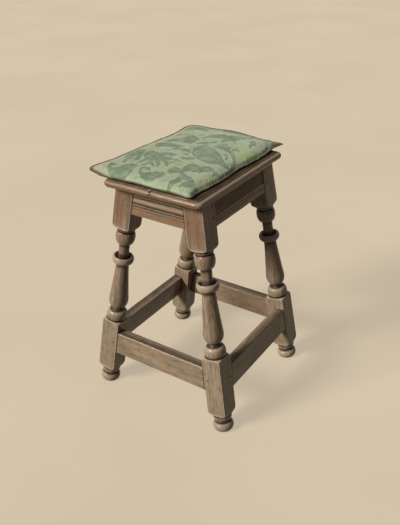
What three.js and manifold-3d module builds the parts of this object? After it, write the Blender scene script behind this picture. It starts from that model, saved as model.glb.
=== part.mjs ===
// A joined stool: four turned legs splayed both ways, moulded rails under a seat board with a
// rounded edge, box stretchers near the floor, pegs through every joint, and a loose squab pad
// in green damask. Millimetres, +Z up, the long side along X, the front towards -Y, and the
// origin on the floor under the middle of the seat.
import * as THREE from "three";
import { mergeVertices } from "three/addons/utils/BufferGeometryUtils.js";
import Module from "manifold-3d";

const wasm = await Module();
wasm.setup();

// Seat board
const seatHeight = 553;
const boardLength = 351;
const boardWidth = 247;
const boardThick = 16;
const boardCorner = 15;
const boardEdge = 6;

// Frame: spans over the outer faces of the legs just under the board, splays in degrees
const frameLength = 293;
const frameWidth = 217;
const lengthSplay = 4.1;
const widthSplay = 9;
const legSquare = 46;

// Rails and stretchers: heights are of their own faces, which lean with the legs
const railHeight = 61;
const railThick = 22;
const grooveDepth = 1.6;
const stretcherHeight = 57;
const stretcherThick = 24;
const stretcherChamfer = 2.5;
const faceSetback = 1;

// Tenons and pegs
const tenonThick = 8;
const tenonLength = 24;
const tenonShoulder = 6;
const tenonFaceInset = 8;
const pegDiameter = 7;
const pegLength = 30;
const pegProud = 0.4;
const pegEdgeInset = 9;
const boardPegDepth = 20;
const boardPegInset = 25;

// Square blocks of a leg: how far they run on past the rail and the stretcher
const blockUnderRail = 44;
const blockOverStretcher = 27;
const blockUnderStretcher = 60;
const blockShoulder = 9;

// Turned lengths down a leg; the tapered body of the baluster takes what is left
const collarLength = 10;
const ballLength = 33;
const neckLength = 32;
const ringLength = 19;
const ringDish = 8;
const balusterBase = 21;
const coveLength = 9;
const bulbLength = 25;
const cupLength = 21;
const footLength = 21.5;

// Turned diameters
const collarDiameter = 42;
const collarWaist = 35;
const ballDiameter = 44.5;
const neckDiameter = 25;
const neckWaist = 24;
const ringDiameter = 49.5;
const ringRim = 42;
const ringFoot = 34;
const balusterTop = 29;
const balusterDiameter = 46;
const balusterNeck = 24;
const coveDiameter = 35;
const bulbDiameter = 48.5;
const bulbSeat = 39;
const scribeDepth = 0.7;
const cupDiameter = 45;
const footNeck = 29;
const footDiameter = 48;
const footSole = 22;
const coreDiameter = 20;

// Squab pad: its spans, how far it lies off the middle of the board, and its thicknesses
const padLength = 356;
const padWidth = 280;
const padOffsetX = 9;
const padOffsetY = 23;
const padEdge = 9;
const padCrown = 6;
const padDrawIn = 3;
const coverThick = 1;
const liningThick = 0.8;

// Fits
const jointGap = 0.3;
const overrun = 5;
const weld = 1e-4;

const turnSides = 16;
const pegSides = 8;
const padPlanSamples = 2;

const oak = { color: 0x8a6a52, roughness: 0.55, metalness: 0 };
const oakDark = { color: 0x7b5d48, roughness: 0.58, metalness: 0 };
const pegOak = { color: 0x6a4e3c, roughness: 0.6, metalness: 0 };
const damask = { color: 0x9fb592, roughness: 0.5, metalness: 0 };
const wool = { color: 0xcfc3a4, roughness: 0.95, metalness: 0 };
const linen = { color: 0xb9ab8c, roughness: 0.9, metalness: 0 };

const lengthLean = THREE.MathUtils.degToRad(lengthSplay);
const widthLean = THREE.MathUtils.degToRad(widthSplay);
const underBoard = seatHeight - boardThick - jointGap;
const reach = 2 * (boardLength + seatHeight);

// The axes of the leg at +X +Y: its side face looks along sideFace, its end face along endFace
const legAxis = new THREE.Vector3(-Math.tan(lengthLean), -Math.tan(widthLean), 1).normalize();
const sideFace = new THREE.Vector3(0, Math.cos(widthLean), Math.sin(widthLean));
const endFace = new THREE.Vector3().crossVectors(sideFace, legAxis);
const halfSquare = legSquare / 2;
const legTop = new THREE.Vector3(
  frameLength / 2 - halfSquare / endFace.x,
  frameWidth / 2 - halfSquare / sideFace.y,
  underBoard,
);
// Length along a leg for each millimetre of height
const slant = 1 / legAxis.z;

// The frame of one leg, x and y across its faces and z up its axis; signs pick the corner
function legFrame(signX, signY) {
  const corner = new THREE.Matrix4().makeBasis(endFace, sideFace, legAxis).setPosition(legTop);
  return new THREE.Matrix4().makeScale(signX, signY, 1).multiply(corner);
}

// The frame of one side of the stool: x out of its face, y up its face, z along it. Its origin
// is on the plane of the outer faces of the legs, at the height of their tops.
function sideFrame(side) {
  const lean = side.directionX ? lengthLean : widthLean;
  const span = side.directionX ? frameLength : frameWidth;
  const flat = new THREE.Vector3(side.directionX, side.directionY, 0);
  const up = new THREE.Vector3(0, 0, 1);
  const out = flat.clone().multiplyScalar(Math.cos(lean)).addScaledVector(up, Math.sin(lean));
  const rise = up.clone().multiplyScalar(Math.cos(lean)).addScaledVector(flat, -Math.sin(lean));
  const along = new THREE.Vector3().crossVectors(out, rise);
  const origin = flat.multiplyScalar(span / 2).setZ(underBoard);
  return new THREE.Matrix4().makeBasis(out, rise, along).setPosition(origin);
}

// A three.js geometry as a solid, turned right side out again where the matrix mirrors it
function solidFrom(geometry, matrix = new THREE.Matrix4()) {
  const bare = geometry.clone().applyMatrix4(matrix);
  bare.deleteAttribute("normal");
  bare.deleteAttribute("uv");
  const merged = mergeVertices(bare, weld);
  const triVerts = Uint32Array.from(merged.index.array);
  if (matrix.determinant() < 0) triVerts.reverse();
  const vertProperties = merged.attributes.position.array;
  return new wasm.Manifold(new wasm.Mesh({ numProp: 3, vertProperties, triVerts }));
}

function geometryFrom(solid) {
  const { vertProperties, triVerts } = solid.getMesh();
  const geometry = new THREE.BufferGeometry();
  geometry.setAttribute("position", new THREE.BufferAttribute(vertProperties, 3));
  geometry.setIndex(new THREE.BufferAttribute(triVerts, 1));
  geometry.computeVertexNormals();
  return geometry;
}

const stool = new THREE.Group();

function addPiece(name, solid, look) {
  const mesh = new THREE.Mesh(geometryFrom(solid), new THREE.MeshStandardMaterial(look));
  mesh.name = name;
  stool.add(mesh);
}

function box(low, high, matrix) {
  const [sizeX, sizeY, sizeZ] = high.map((value, axis) => value - low[axis]);
  const geometry = new THREE.BoxGeometry(sizeX, sizeY, sizeZ);
  geometry.translate(...high.map((value, axis) => (value + low[axis]) / 2));
  return solidFrom(geometry, matrix);
}

// A solid of revolution about z from [radius, height] points that run upwards
function turned(points, matrix) {
  const profile = points.map(([radius, height]) => new THREE.Vector2(radius, height));
  const geometry = new THREE.LatheGeometry(profile, turnSides);
  return solidFrom(geometry.rotateX(Math.PI / 2), matrix);
}

// Shares from 0 to 1 in equal steps
function steps(count) {
  return Array.from({ length: count + 1 }, (_, step) => step / count);
}

// Each moulding is a list of [radius, distance down] that starts at the drop given.
// A bead swells to its peak, a cup rounds in convexly, a cove sweeps out concavely.
function bead(start, peak, end, drop, length, count) {
  return steps(count).map((share) => {
    const angle = Math.PI * share;
    const base = THREE.MathUtils.lerp(start, end, share);
    const swell = (peak - (start + end) / 2) * Math.sin(angle);
    return [base + swell, drop + (length * (1 - Math.cos(angle))) / 2];
  });
}

function cup(start, end, drop, length, count) {
  return steps(count).map((share) => {
    const angle = (Math.PI / 2) * share;
    return [end + (start - end) * Math.cos(angle), drop + length * Math.sin(angle)];
  });
}

function cove(start, end, drop, length, count) {
  return steps(count).map((share) => {
    const angle = (Math.PI / 2) * share;
    return [start + (end - start) * (1 - Math.cos(angle)), drop + length * Math.sin(angle)];
  });
}

// A scribed line: a shallow V cut round the turning, centred on the drop given
function scribe(radius, drop) {
  return [
    [radius, drop - scribeDepth],
    [radius - scribeDepth, drop],
    [radius, drop + scribeDepth],
  ];
}

// Distances down a leg from its top, along its axis
const upperBlock = (railHeight + blockUnderRail) * slant;
const lowerBlock = (blockOverStretcher + stretcherHeight + blockUnderStretcher) * slant;
const legLength = underBoard * slant;
const lowerBlockEnd = legLength - cupLength - footLength;
const lowerBlockStart = lowerBlockEnd - lowerBlock;

// The collar, the ball and the neck, down to the dish in the top of the ring
function upperTurning() {
  const ballDrop = upperBlock + collarLength;
  const neckDrop = ballDrop + ballLength;
  return [
    ...cove(collarDiameter / 2, collarWaist / 2, upperBlock, collarLength, 2),
    ...bead(collarWaist / 2, ballDiameter / 2, neckDiameter / 2, ballDrop, ballLength, 6).slice(1),
    [neckWaist / 2, neckDrop + neckLength / 2],
  ];
}

// The ring stands up round the neck as a dish with a rounded rim
function ringTurning() {
  const ringDrop = upperBlock + collarLength + ballLength + neckLength;
  return [
    [neckDiameter / 2, ringDrop + ringDish],
    ...bead(ringRim / 2, ringDiameter / 2, ringFoot / 2, ringDrop, ringLength - scribeDepth, 6),
    ...scribe(balusterTop / 2 + scribeDepth, ringDrop + ringLength).slice(1),
  ];
}

// The baluster flares from the ring to its widest and rounds in to its neck
function balusterTurning() {
  const flareDrop = upperBlock + collarLength + ballLength + neckLength + ringLength + scribeDepth;
  const bottom = lowerBlockStart - bulbLength - coveLength;
  const widest = bottom - balusterBase;
  const startAngle = -Math.PI / 9;
  const endAngle = Math.PI / 2;
  const round = (angle) => [
    balusterNeck / 2 + ((balusterDiameter - balusterNeck) / 2) * Math.cos(angle),
    widest + balusterBase * Math.sin(angle),
  ];
  const [flareRadius, flareEnd] = round(startAngle);
  const flare = steps(4).slice(1, -1).map((share) => [
    THREE.MathUtils.lerp(balusterTop / 2, flareRadius, share ** 1.2),
    THREE.MathUtils.lerp(flareDrop, flareEnd, share),
  ]);
  const base = steps(4).map((share) => round(THREE.MathUtils.lerp(startAngle, endAngle, share)));
  return [...flare, ...base];
}

// The cove, a scribed line and the bulb that sits on the lower block
function lowerTurning() {
  const bulbDrop = lowerBlockStart - bulbLength;
  const coveDrop = bulbDrop - coveLength;
  return [
    ...cove(balusterNeck / 2, coveDiameter / 2, coveDrop, coveLength - scribeDepth, 2).slice(1),
    ...scribe(coveDiameter / 2, bulbDrop).slice(1, 2),
    ...bead(coveDiameter / 2, bulbDiameter / 2, bulbSeat / 2, bulbDrop, bulbLength, 5).slice(1),
  ];
}

// How far a leaning foot runs on past the floor, so that the floor cuts it right across
const footOverrun = footSole * Math.hypot(Math.tan(lengthLean), Math.tan(widthLean));

// The cup under the lower block and the bun foot
function footTurning() {
  const footDrop = lowerBlockEnd + cupLength;
  const foot = bead(footNeck / 2, footDiameter / 2, footSole / 2, footDrop, footLength + footOverrun, 6);
  return [...cup(cupDiameter / 2, footNeck / 2, lowerBlockEnd, cupLength, 3), ...foot.slice(1)];
}

// The whole spindle: it runs into the end of each block as a cone and through both as a core
function spindle(matrix) {
  const core = coreDiameter / 2;
  const down = [
    [0, upperBlock - blockShoulder],
    [core, upperBlock - blockShoulder],
    ...upperTurning(),
    ...ringTurning(),
    ...balusterTurning(),
    ...lowerTurning(),
    [core, lowerBlockStart + blockShoulder],
    [core, lowerBlockEnd - blockShoulder],
    ...footTurning(),
    [0, legLength + footOverrun],
  ];
  return turned(down.map(([radius, drop]) => [radius, -drop]).reverse(), matrix);
}

// The corners of a block, rounded in to the radius of the turning that meets its end
function blockShoulders(endRadius) {
  return cup(halfSquare * Math.SQRT2, endRadius + scribeDepth, 0, blockShoulder, 3);
}

// A square block between two distances down the leg. The turner rounds its corners at the
// bottom, and at the top too where a turning meets it there.
function turnedBlock(from, to, topRadius, bottomRadius, matrix) {
  const topEnd = topRadius
    ? blockShoulders(topRadius).map(([radius, rise]) => [radius, rise - from - blockShoulder])
    : [[legSquare, -from]];
  const bottomEnd = blockShoulders(bottomRadius)
    .map(([radius, fall]) => [radius, blockShoulder - to - fall])
    .reverse();
  const envelope = turned([[0, -to], ...bottomEnd, ...topEnd, [0, -from]], matrix);
  const low = [-halfSquare, -halfSquare, -to - overrun];
  const high = [halfSquare, halfSquare, overrun - from];
  return box(low, high, matrix).intersect(envelope);
}

// Everything above the underside of the board, and everything under the floor
const aboveFrame = box([-reach, -reach, underBoard], [reach, reach, underBoard + reach]);
const belowFloor = box([-reach, -reach, -reach], [reach, reach, 0]);

const sides = [
  { name: "front", directionX: 0, directionY: -1, ends: ["left", "right"] },
  { name: "back", directionX: 0, directionY: 1, ends: ["left", "right"] },
  { name: "left", directionX: -1, directionY: 0, ends: ["front", "back"] },
  { name: "right", directionX: 1, directionY: 0, ends: ["front", "back"] },
];
const signOf = { left: -1, right: 1, front: -1, back: 1 };

// The frame of the leg at one end of a side
function endFrame(side, end) {
  return side.directionX
    ? legFrame(side.directionX, signOf[end])
    : legFrame(signOf[end], side.directionY);
}

// Everything from a plane across a leg outwards, the plane measured from the leg's inner face
function beyond(side, end, depth) {
  const low = [-reach, -reach, -reach];
  low[side.directionX ? 1 : 0] = depth - halfSquare;
  return box(low, [reach, reach, reach], endFrame(side, end));
}

// Outline of a member's outer face, from its top down, as [depth, share of height]
function flatBand(share) {
  return { share, points: [[0, 0], [0, 1]] };
}

function grooveBand(share) {
  return { share, points: [[0, 0], [grooveDepth, 0.5], [0, 1]] };
}

function roundBand(share) {
  const points = steps(4).map((part) => [grooveDepth * (1 - Math.sin(Math.PI * part)), part]);
  return { share, points };
}

const endRailBands = [
  flatBand(0.26),
  grooveBand(0.045),
  grooveBand(0.045),
  roundBand(0.2),
  grooveBand(0.05),
  grooveBand(0.05),
  flatBand(0.35),
];
const reeds = Array.from({ length: 5 }, () => [grooveBand(0.04), roundBand(0.055)]).flat();
const sideRailBands = [flatBand(0.18), ...reeds, flatBand(0.345)];

function facePoints(bands, top, height) {
  let start = 0;
  return bands.flatMap(({ share, points }) => {
    const from = start;
    start += share;
    return points.map(([depth, part]) => [-faceSetback - depth, top - (from + share * part) * height]);
  });
}

// A bar of one outline along a whole side of the stool
function sideBar(outline, side) {
  const shape = new THREE.Shape(outline.map(([x, y]) => new THREE.Vector2(x, y)));
  const geometry = new THREE.ExtrudeGeometry(shape, { depth: reach, bevelEnabled: false });
  return solidFrom(geometry.translate(0, 0, -reach / 2), sideFrame(side));
}

function rectangle(left, right, bottom, top) {
  return [[right, top], [left, top], [left, bottom], [right, bottom]];
}

// The tenon's outline on a member, grown by a clearance for the mortise
function tenonOutline(top, height, clearance) {
  return rectangle(
    -tenonFaceInset - tenonThick - clearance,
    -tenonFaceInset + clearance,
    top - height + tenonShoulder - clearance,
    top - tenonShoulder + clearance,
  );
}

// A rail or stretcher: the bar between the legs, with a tenon into the leg at each end
function member(side, outline, top, height) {
  let body = sideBar(outline, side);
  let tenon = sideBar(tenonOutline(top, height, 0), side);
  for (const end of side.ends) {
    body = body.subtract(beyond(side, end, -jointGap));
    tenon = tenon.subtract(beyond(side, end, tenonLength));
  }
  return body.add(tenon).subtract(aboveFrame);
}

function mortise(side, end, top, height) {
  const bar = sideBar(tenonOutline(top, height, jointGap), side);
  return bar.subtract(beyond(side, end, tenonLength + jointGap));
}

function railOutline(side) {
  const bands = side.directionX ? endRailBands : sideRailBands;
  const inner = -faceSetback - railThick;
  // The top runs on past the underside of the board, which trims it level
  const above = railThick;
  return [
    [inner, above],
    [inner, -railHeight],
    ...facePoints(bands, 0, railHeight).reverse(),
    [-faceSetback, above],
  ];
}

// Heights up a side's own face: the foot of the stretcher is set by the block below it
function stretcherTop(side) {
  const lean = side.directionX ? lengthLean : widthLean;
  const bottom = (cupLength + footLength) / slant + blockUnderStretcher;
  return (bottom - underBoard) / Math.cos(lean) + stretcherHeight;
}

function stretcherOutline(side) {
  const top = stretcherTop(side);
  const inner = -faceSetback - stretcherThick;
  return [
    [inner, top],
    [inner, top - stretcherHeight],
    [-faceSetback, top - stretcherHeight],
    [-faceSetback, top - stretcherChamfer],
    [-faceSetback - stretcherChamfer, top],
  ];
}

// Swaps x and y, so that what is built for a side face comes out on an end face
const swapAcross = new THREE.Matrix4().makeRotationZ(Math.PI / 2);
swapAcross.premultiply(new THREE.Matrix4().makeScale(-1, 1, 1));

// A round bar square to a side's face, near the shoulder of the joint at one end
function pegBar(side, end, drop, clearance) {
  const radius = pegDiameter / 2 + clearance;
  const inner = halfSquare - pegLength - clearance;
  const outer = halfSquare + (clearance ? overrun : pegProud);
  const geometry = new THREE.CylinderGeometry(radius, radius, outer - inner, pegSides);
  geometry.translate(pegEdgeInset - halfSquare, (outer + inner) / 2, -drop);
  const frame = endFrame(side, end);
  if (!side.directionX) return solidFrom(geometry, frame);
  // On an end face the same bar lies the other way across the leg
  return solidFrom(geometry, frame.multiply(swapAcross));
}

// The pegs of a side's joints: two through each rail tenon, one through each stretcher tenon
const upperPegShare = 0.3;
const lowerPegShare = 0.7;

function railPegDrops() {
  return { upper: railHeight * upperPegShare, lower: railHeight * lowerPegShare };
}

function stretcherPegDrop(side) {
  const lean = side.directionX ? lengthLean : widthLean;
  const middle = stretcherTop(side) - stretcherHeight / 2;
  return -middle * Math.cos(lean) * slant;
}

function pegDrops(side) {
  return [...Object.values(railPegDrops()), stretcherPegDrop(side)];
}

function cornerName(signX, signY) {
  return (signY < 0 ? "front" : "back") + "_" + (signX < 0 ? "left" : "right");
}

function addLegs() {
  for (const signY of [-1, 1]) {
    for (const signX of [-1, 1]) {
      const frame = legFrame(signX, signY);
      let leg = spindle(frame)
        .add(turnedBlock(-overrun, upperBlock, 0, collarDiameter / 2, frame))
        .add(turnedBlock(lowerBlockStart, lowerBlockEnd, bulbSeat / 2, cupDiameter / 2, frame))
        .subtract(aboveFrame)
        .subtract(belowFloor);
      for (const side of sides) {
        const end = side.ends.find((name) => signOf[name] === (side.directionX ? signY : signX));
        const here = side.directionX ? side.directionX === signX : side.directionY === signY;
        if (!here) continue;
        leg = leg
          .subtract(mortise(side, end, 0, railHeight))
          .subtract(mortise(side, end, stretcherTop(side), stretcherHeight));
        for (const drop of pegDrops(side)) leg = leg.subtract(pegBar(side, end, drop, jointGap));
      }
      addPiece("leg_" + cornerName(signX, signY), leg, oak);
    }
  }
}

// The upright pegs that hold the board down to the front and back rails, each a named distance
// in from the inner face of the leg beside it
function boardPegBar(signX, signY, clearance) {
  const radius = pegDiameter / 2 + clearance;
  const top = seatHeight + (clearance ? overrun : 0);
  const bottom = underBoard - boardPegDepth - clearance;
  const geometry = new THREE.CylinderGeometry(radius, radius, top - bottom, pegSides);
  const x = frameLength / 2 - legSquare / endFace.x - boardPegInset;
  const y = frameWidth / 2 - faceSetback - railThick / 2;
  geometry.rotateX(Math.PI / 2).translate(signX * x, signY * y, (top + bottom) / 2);
  return solidFrom(geometry);
}

function addRails() {
  for (const side of sides) {
    let rail = member(side, railOutline(side), 0, railHeight);
    for (const end of side.ends) {
      for (const drop of pegDrops(side)) rail = rail.subtract(pegBar(side, end, drop, jointGap));
      if (side.directionY) rail = rail.subtract(boardPegBar(signOf[end], side.directionY, jointGap));
    }
    addPiece("rail_" + side.name, rail, oak);
  }
}

function addStretchers() {
  for (const side of sides) {
    let stretcher = member(side, stretcherOutline(side), stretcherTop(side), stretcherHeight);
    for (const end of side.ends) {
      stretcher = stretcher.subtract(pegBar(side, end, stretcherPegDrop(side), jointGap));
    }
    addPiece("stretcher_" + side.name, stretcher, oakDark);
  }
}

function addJointPegs() {
  for (const side of sides) {
    for (const end of side.ends) {
      for (const [level, drop] of Object.entries(railPegDrops())) {
        addPiece(`rail_peg_${side.name}_${end}_${level}`, pegBar(side, end, drop, 0), pegOak);
      }
      const peg = pegBar(side, end, stretcherPegDrop(side), 0);
      addPiece(`stretcher_peg_${side.name}_${end}`, peg, pegOak);
    }
  }
}

// The board: a rounded rectangle whose top and bottom edges are rounded over
function addBoard() {
  const halfX = boardLength / 2 - boardEdge;
  const halfY = boardWidth / 2 - boardEdge;
  const radius = boardCorner - boardEdge;
  const shape = new THREE.Shape();
  shape.absarc(halfX - radius, halfY - radius, radius, 0, Math.PI / 2);
  shape.absarc(radius - halfX, halfY - radius, radius, Math.PI / 2, Math.PI);
  shape.absarc(radius - halfX, radius - halfY, radius, Math.PI, 1.5 * Math.PI);
  shape.absarc(halfX - radius, radius - halfY, radius, 1.5 * Math.PI, 2 * Math.PI);
  const geometry = new THREE.ExtrudeGeometry(shape, {
    depth: boardThick - 2 * boardEdge,
    bevelThickness: boardEdge,
    bevelSize: boardEdge,
    bevelSegments: 3,
    curveSegments: 4,
  });
  let board = solidFrom(geometry.translate(0, 0, seatHeight - boardThick + boardEdge));
  for (const signY of [-1, 1]) {
    for (const signX of [-1, 1]) {
      board = board.subtract(boardPegBar(signX, signY, jointGap));
      addPiece("board_peg_" + cornerName(signX, signY), boardPegBar(signX, signY, 0), pegOak);
    }
  }
  addPiece("seat_board", board, oak);
}

// The pad's plan from its back left corner on, past the back right, front right and front left
// corners, as shares of its half spans: the corners stand out and the edges wander
const padPlanShares = [
  [-0.96, 0.92], [-0.92, 1], [-0.8, 0.98], [-0.4, 0.97], [0, 0.92], [0.4, 0.88], [0.7, 0.85],
  [0.93, 0.88], [0.99, 0.8], [0.94, 0.45], [0.97, 0.15], [0.92, -0.4], [0.95, -0.85],
  [0.99, -0.99], [0.88, -0.97], [0.5, -0.89], [0.1, -0.92], [-0.4, -0.89], [-0.9, -0.91],
  [-0.985, -0.82], [-0.96, -0.3], [-0.95, 0.4],
];

// How far in from the edge the rings of the crown lie, as shares of half the width
const padCrownShares = [0.12, 0.35, 0.65, 0.94];

function padPlan() {
  const corners = padPlanShares.map(([x, y]) => new THREE.Vector3(x, y, 0));
  const curve = new THREE.CatmullRomCurve3(corners, true, "centripetal");
  return curve.getPoints(padPlanSamples * corners.length).slice(1).reverse();
}

// One ring of the pad: its plan drawn in by an inset, at one height above the board
function padRing(plan, inset, height) {
  return plan.map((point) => [
    padOffsetX + point.x * (padLength / 2 - inset),
    padOffsetY + point.y * (padWidth / 2 - inset),
    seatHeight + jointGap + height,
  ]);
}

// A closed surface over rings that run from the bottom middle, round the edge, to the top middle
function skin(rings) {
  const count = rings[0].length;
  const middle = (ring) => [padOffsetX, padOffsetY, ring[0][2]];
  const vertices = [...rings.flat(), middle(rings[0]), middle(rings.at(-1))];
  const index = [];
  const bottom = rings.length * count;
  for (let step = 0; step < count; step++) {
    const next = (step + 1) % count;
    index.push(bottom, next, step);
    for (let ring = 0; ring < rings.length - 1; ring++) {
      const low = ring * count;
      const high = low + count;
      index.push(low + step, low + next, high + next, low + step, high + next, high + step);
    }
    const last = (rings.length - 1) * count;
    index.push(bottom + 1, last + step, last + next);
  }
  const geometry = new THREE.BufferGeometry();
  geometry.setAttribute("position", new THREE.Float32BufferAttribute(vertices.flat(), 3));
  geometry.setIndex(index);
  return solidFrom(geometry);
}

// The stuffed form inside a wall of cloth: its edge is drawn in above and below, and its top
// rises to a low crown. It starts at the floor height given, above the board.
function padForm(wall, floor) {
  const plan = padPlan();
  const edge = padEdge - wall;
  const drawnIn = (share) => wall + padDrawIn * (2 * share - 1) ** 2;
  const edgeRings = steps(4)
    .filter((share) => edge * share > floor)
    .map((share) => padRing(plan, drawnIn(share), edge * share));
  const crownRings = padCrownShares.map((share) => {
    return padRing(plan, (padWidth / 2) * share, edge + padCrown * (1 - (1 - share) ** 2));
  });
  return skin([padRing(plan, drawnIn(0), floor), ...edgeRings, ...crownRings]);
}

// The cover is open underneath, where the lining closes it round the filling
function addPad() {
  const inside = coverThick + jointGap;
  const plate = [0, liningThick].map((height) => padRing(padPlan(), padDrawIn + inside, height));
  addPiece("pad_cover", padForm(0, 0).subtract(padForm(coverThick, -overrun)), damask);
  addPiece("pad_filling", padForm(inside, liningThick + jointGap), wool);
  addPiece("pad_lining", skin(plate), linen);
}

addLegs();
addRails();
addStretchers();
addJointPegs();
addBoard();
addPad();

export default stool;
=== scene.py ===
# A joined stool in old waxed oak with a loose squab pad in green damask, dressed round its
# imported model. Metres, +Z up, the long side along X and the front towards -Y.
from math import ceil, cos, hypot, pi, radians, sin, sqrt, tan, tau

import bmesh
import bpy
import numpy as np
from mathutils import Matrix, Vector


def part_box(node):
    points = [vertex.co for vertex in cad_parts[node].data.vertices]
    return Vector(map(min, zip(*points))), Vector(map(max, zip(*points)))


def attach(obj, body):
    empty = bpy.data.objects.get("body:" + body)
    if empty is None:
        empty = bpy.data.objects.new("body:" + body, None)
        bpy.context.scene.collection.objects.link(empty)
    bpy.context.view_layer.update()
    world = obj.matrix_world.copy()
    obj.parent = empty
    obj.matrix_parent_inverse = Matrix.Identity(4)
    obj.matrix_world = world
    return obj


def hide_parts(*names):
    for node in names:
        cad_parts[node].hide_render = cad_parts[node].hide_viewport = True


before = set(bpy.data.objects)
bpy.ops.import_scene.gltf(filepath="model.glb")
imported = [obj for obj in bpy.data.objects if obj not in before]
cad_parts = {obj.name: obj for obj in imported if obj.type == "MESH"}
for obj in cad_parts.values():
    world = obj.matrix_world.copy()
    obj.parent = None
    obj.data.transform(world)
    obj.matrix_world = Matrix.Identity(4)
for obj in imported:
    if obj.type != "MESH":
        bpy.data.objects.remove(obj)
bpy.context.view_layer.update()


# The viewpoint: the eye is a metre and a half from the front left corner, well above the seat,
# and the view leans a degree, as the picture's does.
mm = 0.001


def new_object(name, data):
    made = bpy.data.objects.new(name, data)
    bpy.context.scene.collection.objects.link(made)
    return made


def place_camera():
    azimuth, elevation, roll = (radians(angle) for angle in (-56.146, 29.524, 1.077))
    distance = 1516.6 * mm
    right = Vector((cos(azimuth), sin(azimuth), 0))
    back = Vector((sin(azimuth) * cos(elevation),
                   -cos(azimuth) * cos(elevation), sin(elevation)))
    up = back.cross(right)
    aim = Vector((0, 0, 273.5 * mm)) + right * 3.35 * mm + up * 28.5 * mm
    camera = new_object("viewpoint", bpy.data.cameras.new("viewpoint"))
    camera.data.sensor_width, camera.data.lens = 36, 43.19
    axes = Matrix((right, up, back)).transposed().to_4x4() @ Matrix.Rotation(-roll, 4, "Z")
    camera.matrix_world = Matrix.Translation(aim + back * distance) @ axes
    bpy.context.scene.camera = camera


place_camera()


# Legs: four posts of riven oak, square where the rails and stretchers are tenoned in and turned
# between, leaning outwards both ways. The turner left small flats and a little wobble, and
# three centuries of wax lie dark in the hollows and are rubbed off the beads and arrises; painted
# shade darkens the hollows further and painted highlight lightens the swells of the turnings.
seat_under = 536.7
frame_span = {"x": 293, "y": 217}
lean = {"x": radians(4.1), "y": radians(9)}
half_square, block_shoulder = 23, 9
rail_height, below_rail = 61, 44
above_stretcher, stretcher_height, below_stretcher = 27, 57, 60
foot_cove, foot_ball, foot_past_floor = 21, 21.5, 3.9
scribe_depth = 0.7
leg_axis = Vector((-tan(lean["x"]), -tan(lean["y"]), 1)).normalized()
slant = 1 / leg_axis.z
upper_block = (rail_height + below_rail) * slant
lower_block = (above_stretcher + stretcher_height + below_stretcher) * slant
leg_length = seat_under * slant
lower_end = leg_length - foot_cove - foot_ball
lower_start = lower_end - lower_block
corners = {"front_left": (-1, -1), "front_right": (1, -1), "back_left": (-1, 1),
           "back_right": (1, 1)}


def leg_matrix(sign_x, sign_y):
    """The frame of a leg: its axis up z, from the middle of its top"""
    side_face = Vector((0, cos(lean["y"]), sin(lean["y"])))
    end_face = side_face.cross(leg_axis)
    top = Vector((frame_span["x"] / 2 - half_square / end_face.x,
                  frame_span["y"] / 2 - half_square / side_face.y, seat_under))
    axes = Matrix((end_face, side_face, leg_axis)).transposed().to_4x4()
    return Matrix.Diagonal((sign_x, sign_y, 1, 1)) @ Matrix.Translation(top) @ axes


def shares(count):
    return [step / count for step in range(count + 1)]


def mix(start, end, share):
    return start + (end - start) * share


def bead(start, peak, end, drop, length, count=26):
    swell = peak - (start + end) / 2
    return [(mix(start, end, t) + swell * sin(pi * t),
             drop + length * (1 - cos(pi * t)) / 2) for t in shares(count)]


def cup(start, end, drop, length, count=12):
    return [(end + (start - end) * cos(pi / 2 * t),
             drop + length * sin(pi / 2 * t)) for t in shares(count)]


def cove(start, end, drop, length, count=10):
    return [(start + (end - start) * (1 - cos(pi / 2 * t)),
             drop + length * sin(pi / 2 * t)) for t in shares(count)]


def scribe(radius, drop):
    return [(radius - scribe_depth * cut, drop + scribe_depth * side)
            for cut, side in ((0, -1), (0.8, -0.3), (1, 0), (0.8, 0.3), (0, 1))]


def leg_profile():
    """(radius, drop, half the square that clips it) down a whole leg"""
    shoulder = half_square * sqrt(2)
    outside = shoulder + 2

    def block(points):
        return [(radius, drop, half_square) for radius, drop in points]

    def turned(points, unclipped=60):
        return [(radius, drop, unclipped) for radius, drop in points]

    ball = upper_block + block_shoulder + 1
    neck = ball + 33
    ring = neck + 32
    flare = ring + 19 + scribe_depth
    bulb = lower_start - 25
    hollow = bulb - 9
    widest = hollow - 21
    foot = lower_end + foot_cove

    def belly(angle):
        return 12 + 11 * cos(angle), widest + 21 * sin(angle)

    flare_end = belly(-pi / 9)
    down = block([(0, -5), (outside, -5), (outside, upper_block - block_shoulder - 1)])
    down += block(cup(shoulder, 21.7, upper_block - block_shoulder, block_shoulder, 22))
    down += turned(cove(21, 17.6, upper_block, 9))
    down += turned([(17.2, ball - 1), (17.2, ball)])
    down += turned(bead(17.5, 22.25, 12.9, ball, 33))
    down += turned([(12.4, neck + 1.2), (12, neck + 16), (12.4, ring + 6), (13.4, ring + 8)])
    down += turned(bead(20.6, 24.75, 17, ring, 19 - scribe_depth))
    down += turned(scribe(15.2, ring + 19))
    down += turned([(mix(14.5, flare_end[0], t ** 1.2), mix(flare, flare_end[1], t))
                    for t in shares(14)[1:-1]])
    down += turned([belly(mix(-pi / 9, pi / 2, t)) for t in shares(28)])
    down += turned(cove(12, 17.5, hollow, 9 - scribe_depth)[1:])
    down += turned(scribe(17.5, bulb)[1:-1])
    down += turned(bead(17.5, 24.25, 19.5, bulb, 25))
    down += block([(20.2, lower_start)])
    down += block([(r, lower_start + block_shoulder - (d - lower_start)) for r, d in
                   reversed(cup(shoulder, 20.2, lower_start, block_shoulder, 22))])
    down += block([(outside, lower_start + block_shoulder + 1),
                   (outside, lower_end - block_shoulder - 1)])
    down += block(cup(shoulder, 23.2, lower_end - block_shoulder, block_shoulder, 22))
    down += turned(cup(22.4, 14.8, lower_end, foot_cove - 1))
    down += turned([(14.3, foot - 0.6), (14.3, foot)])
    down += turned(bead(14.5, 24, 11, foot, foot_ball + foot_past_floor, 30))
    return down + turned([(0, leg_length + foot_past_floor)])


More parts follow.
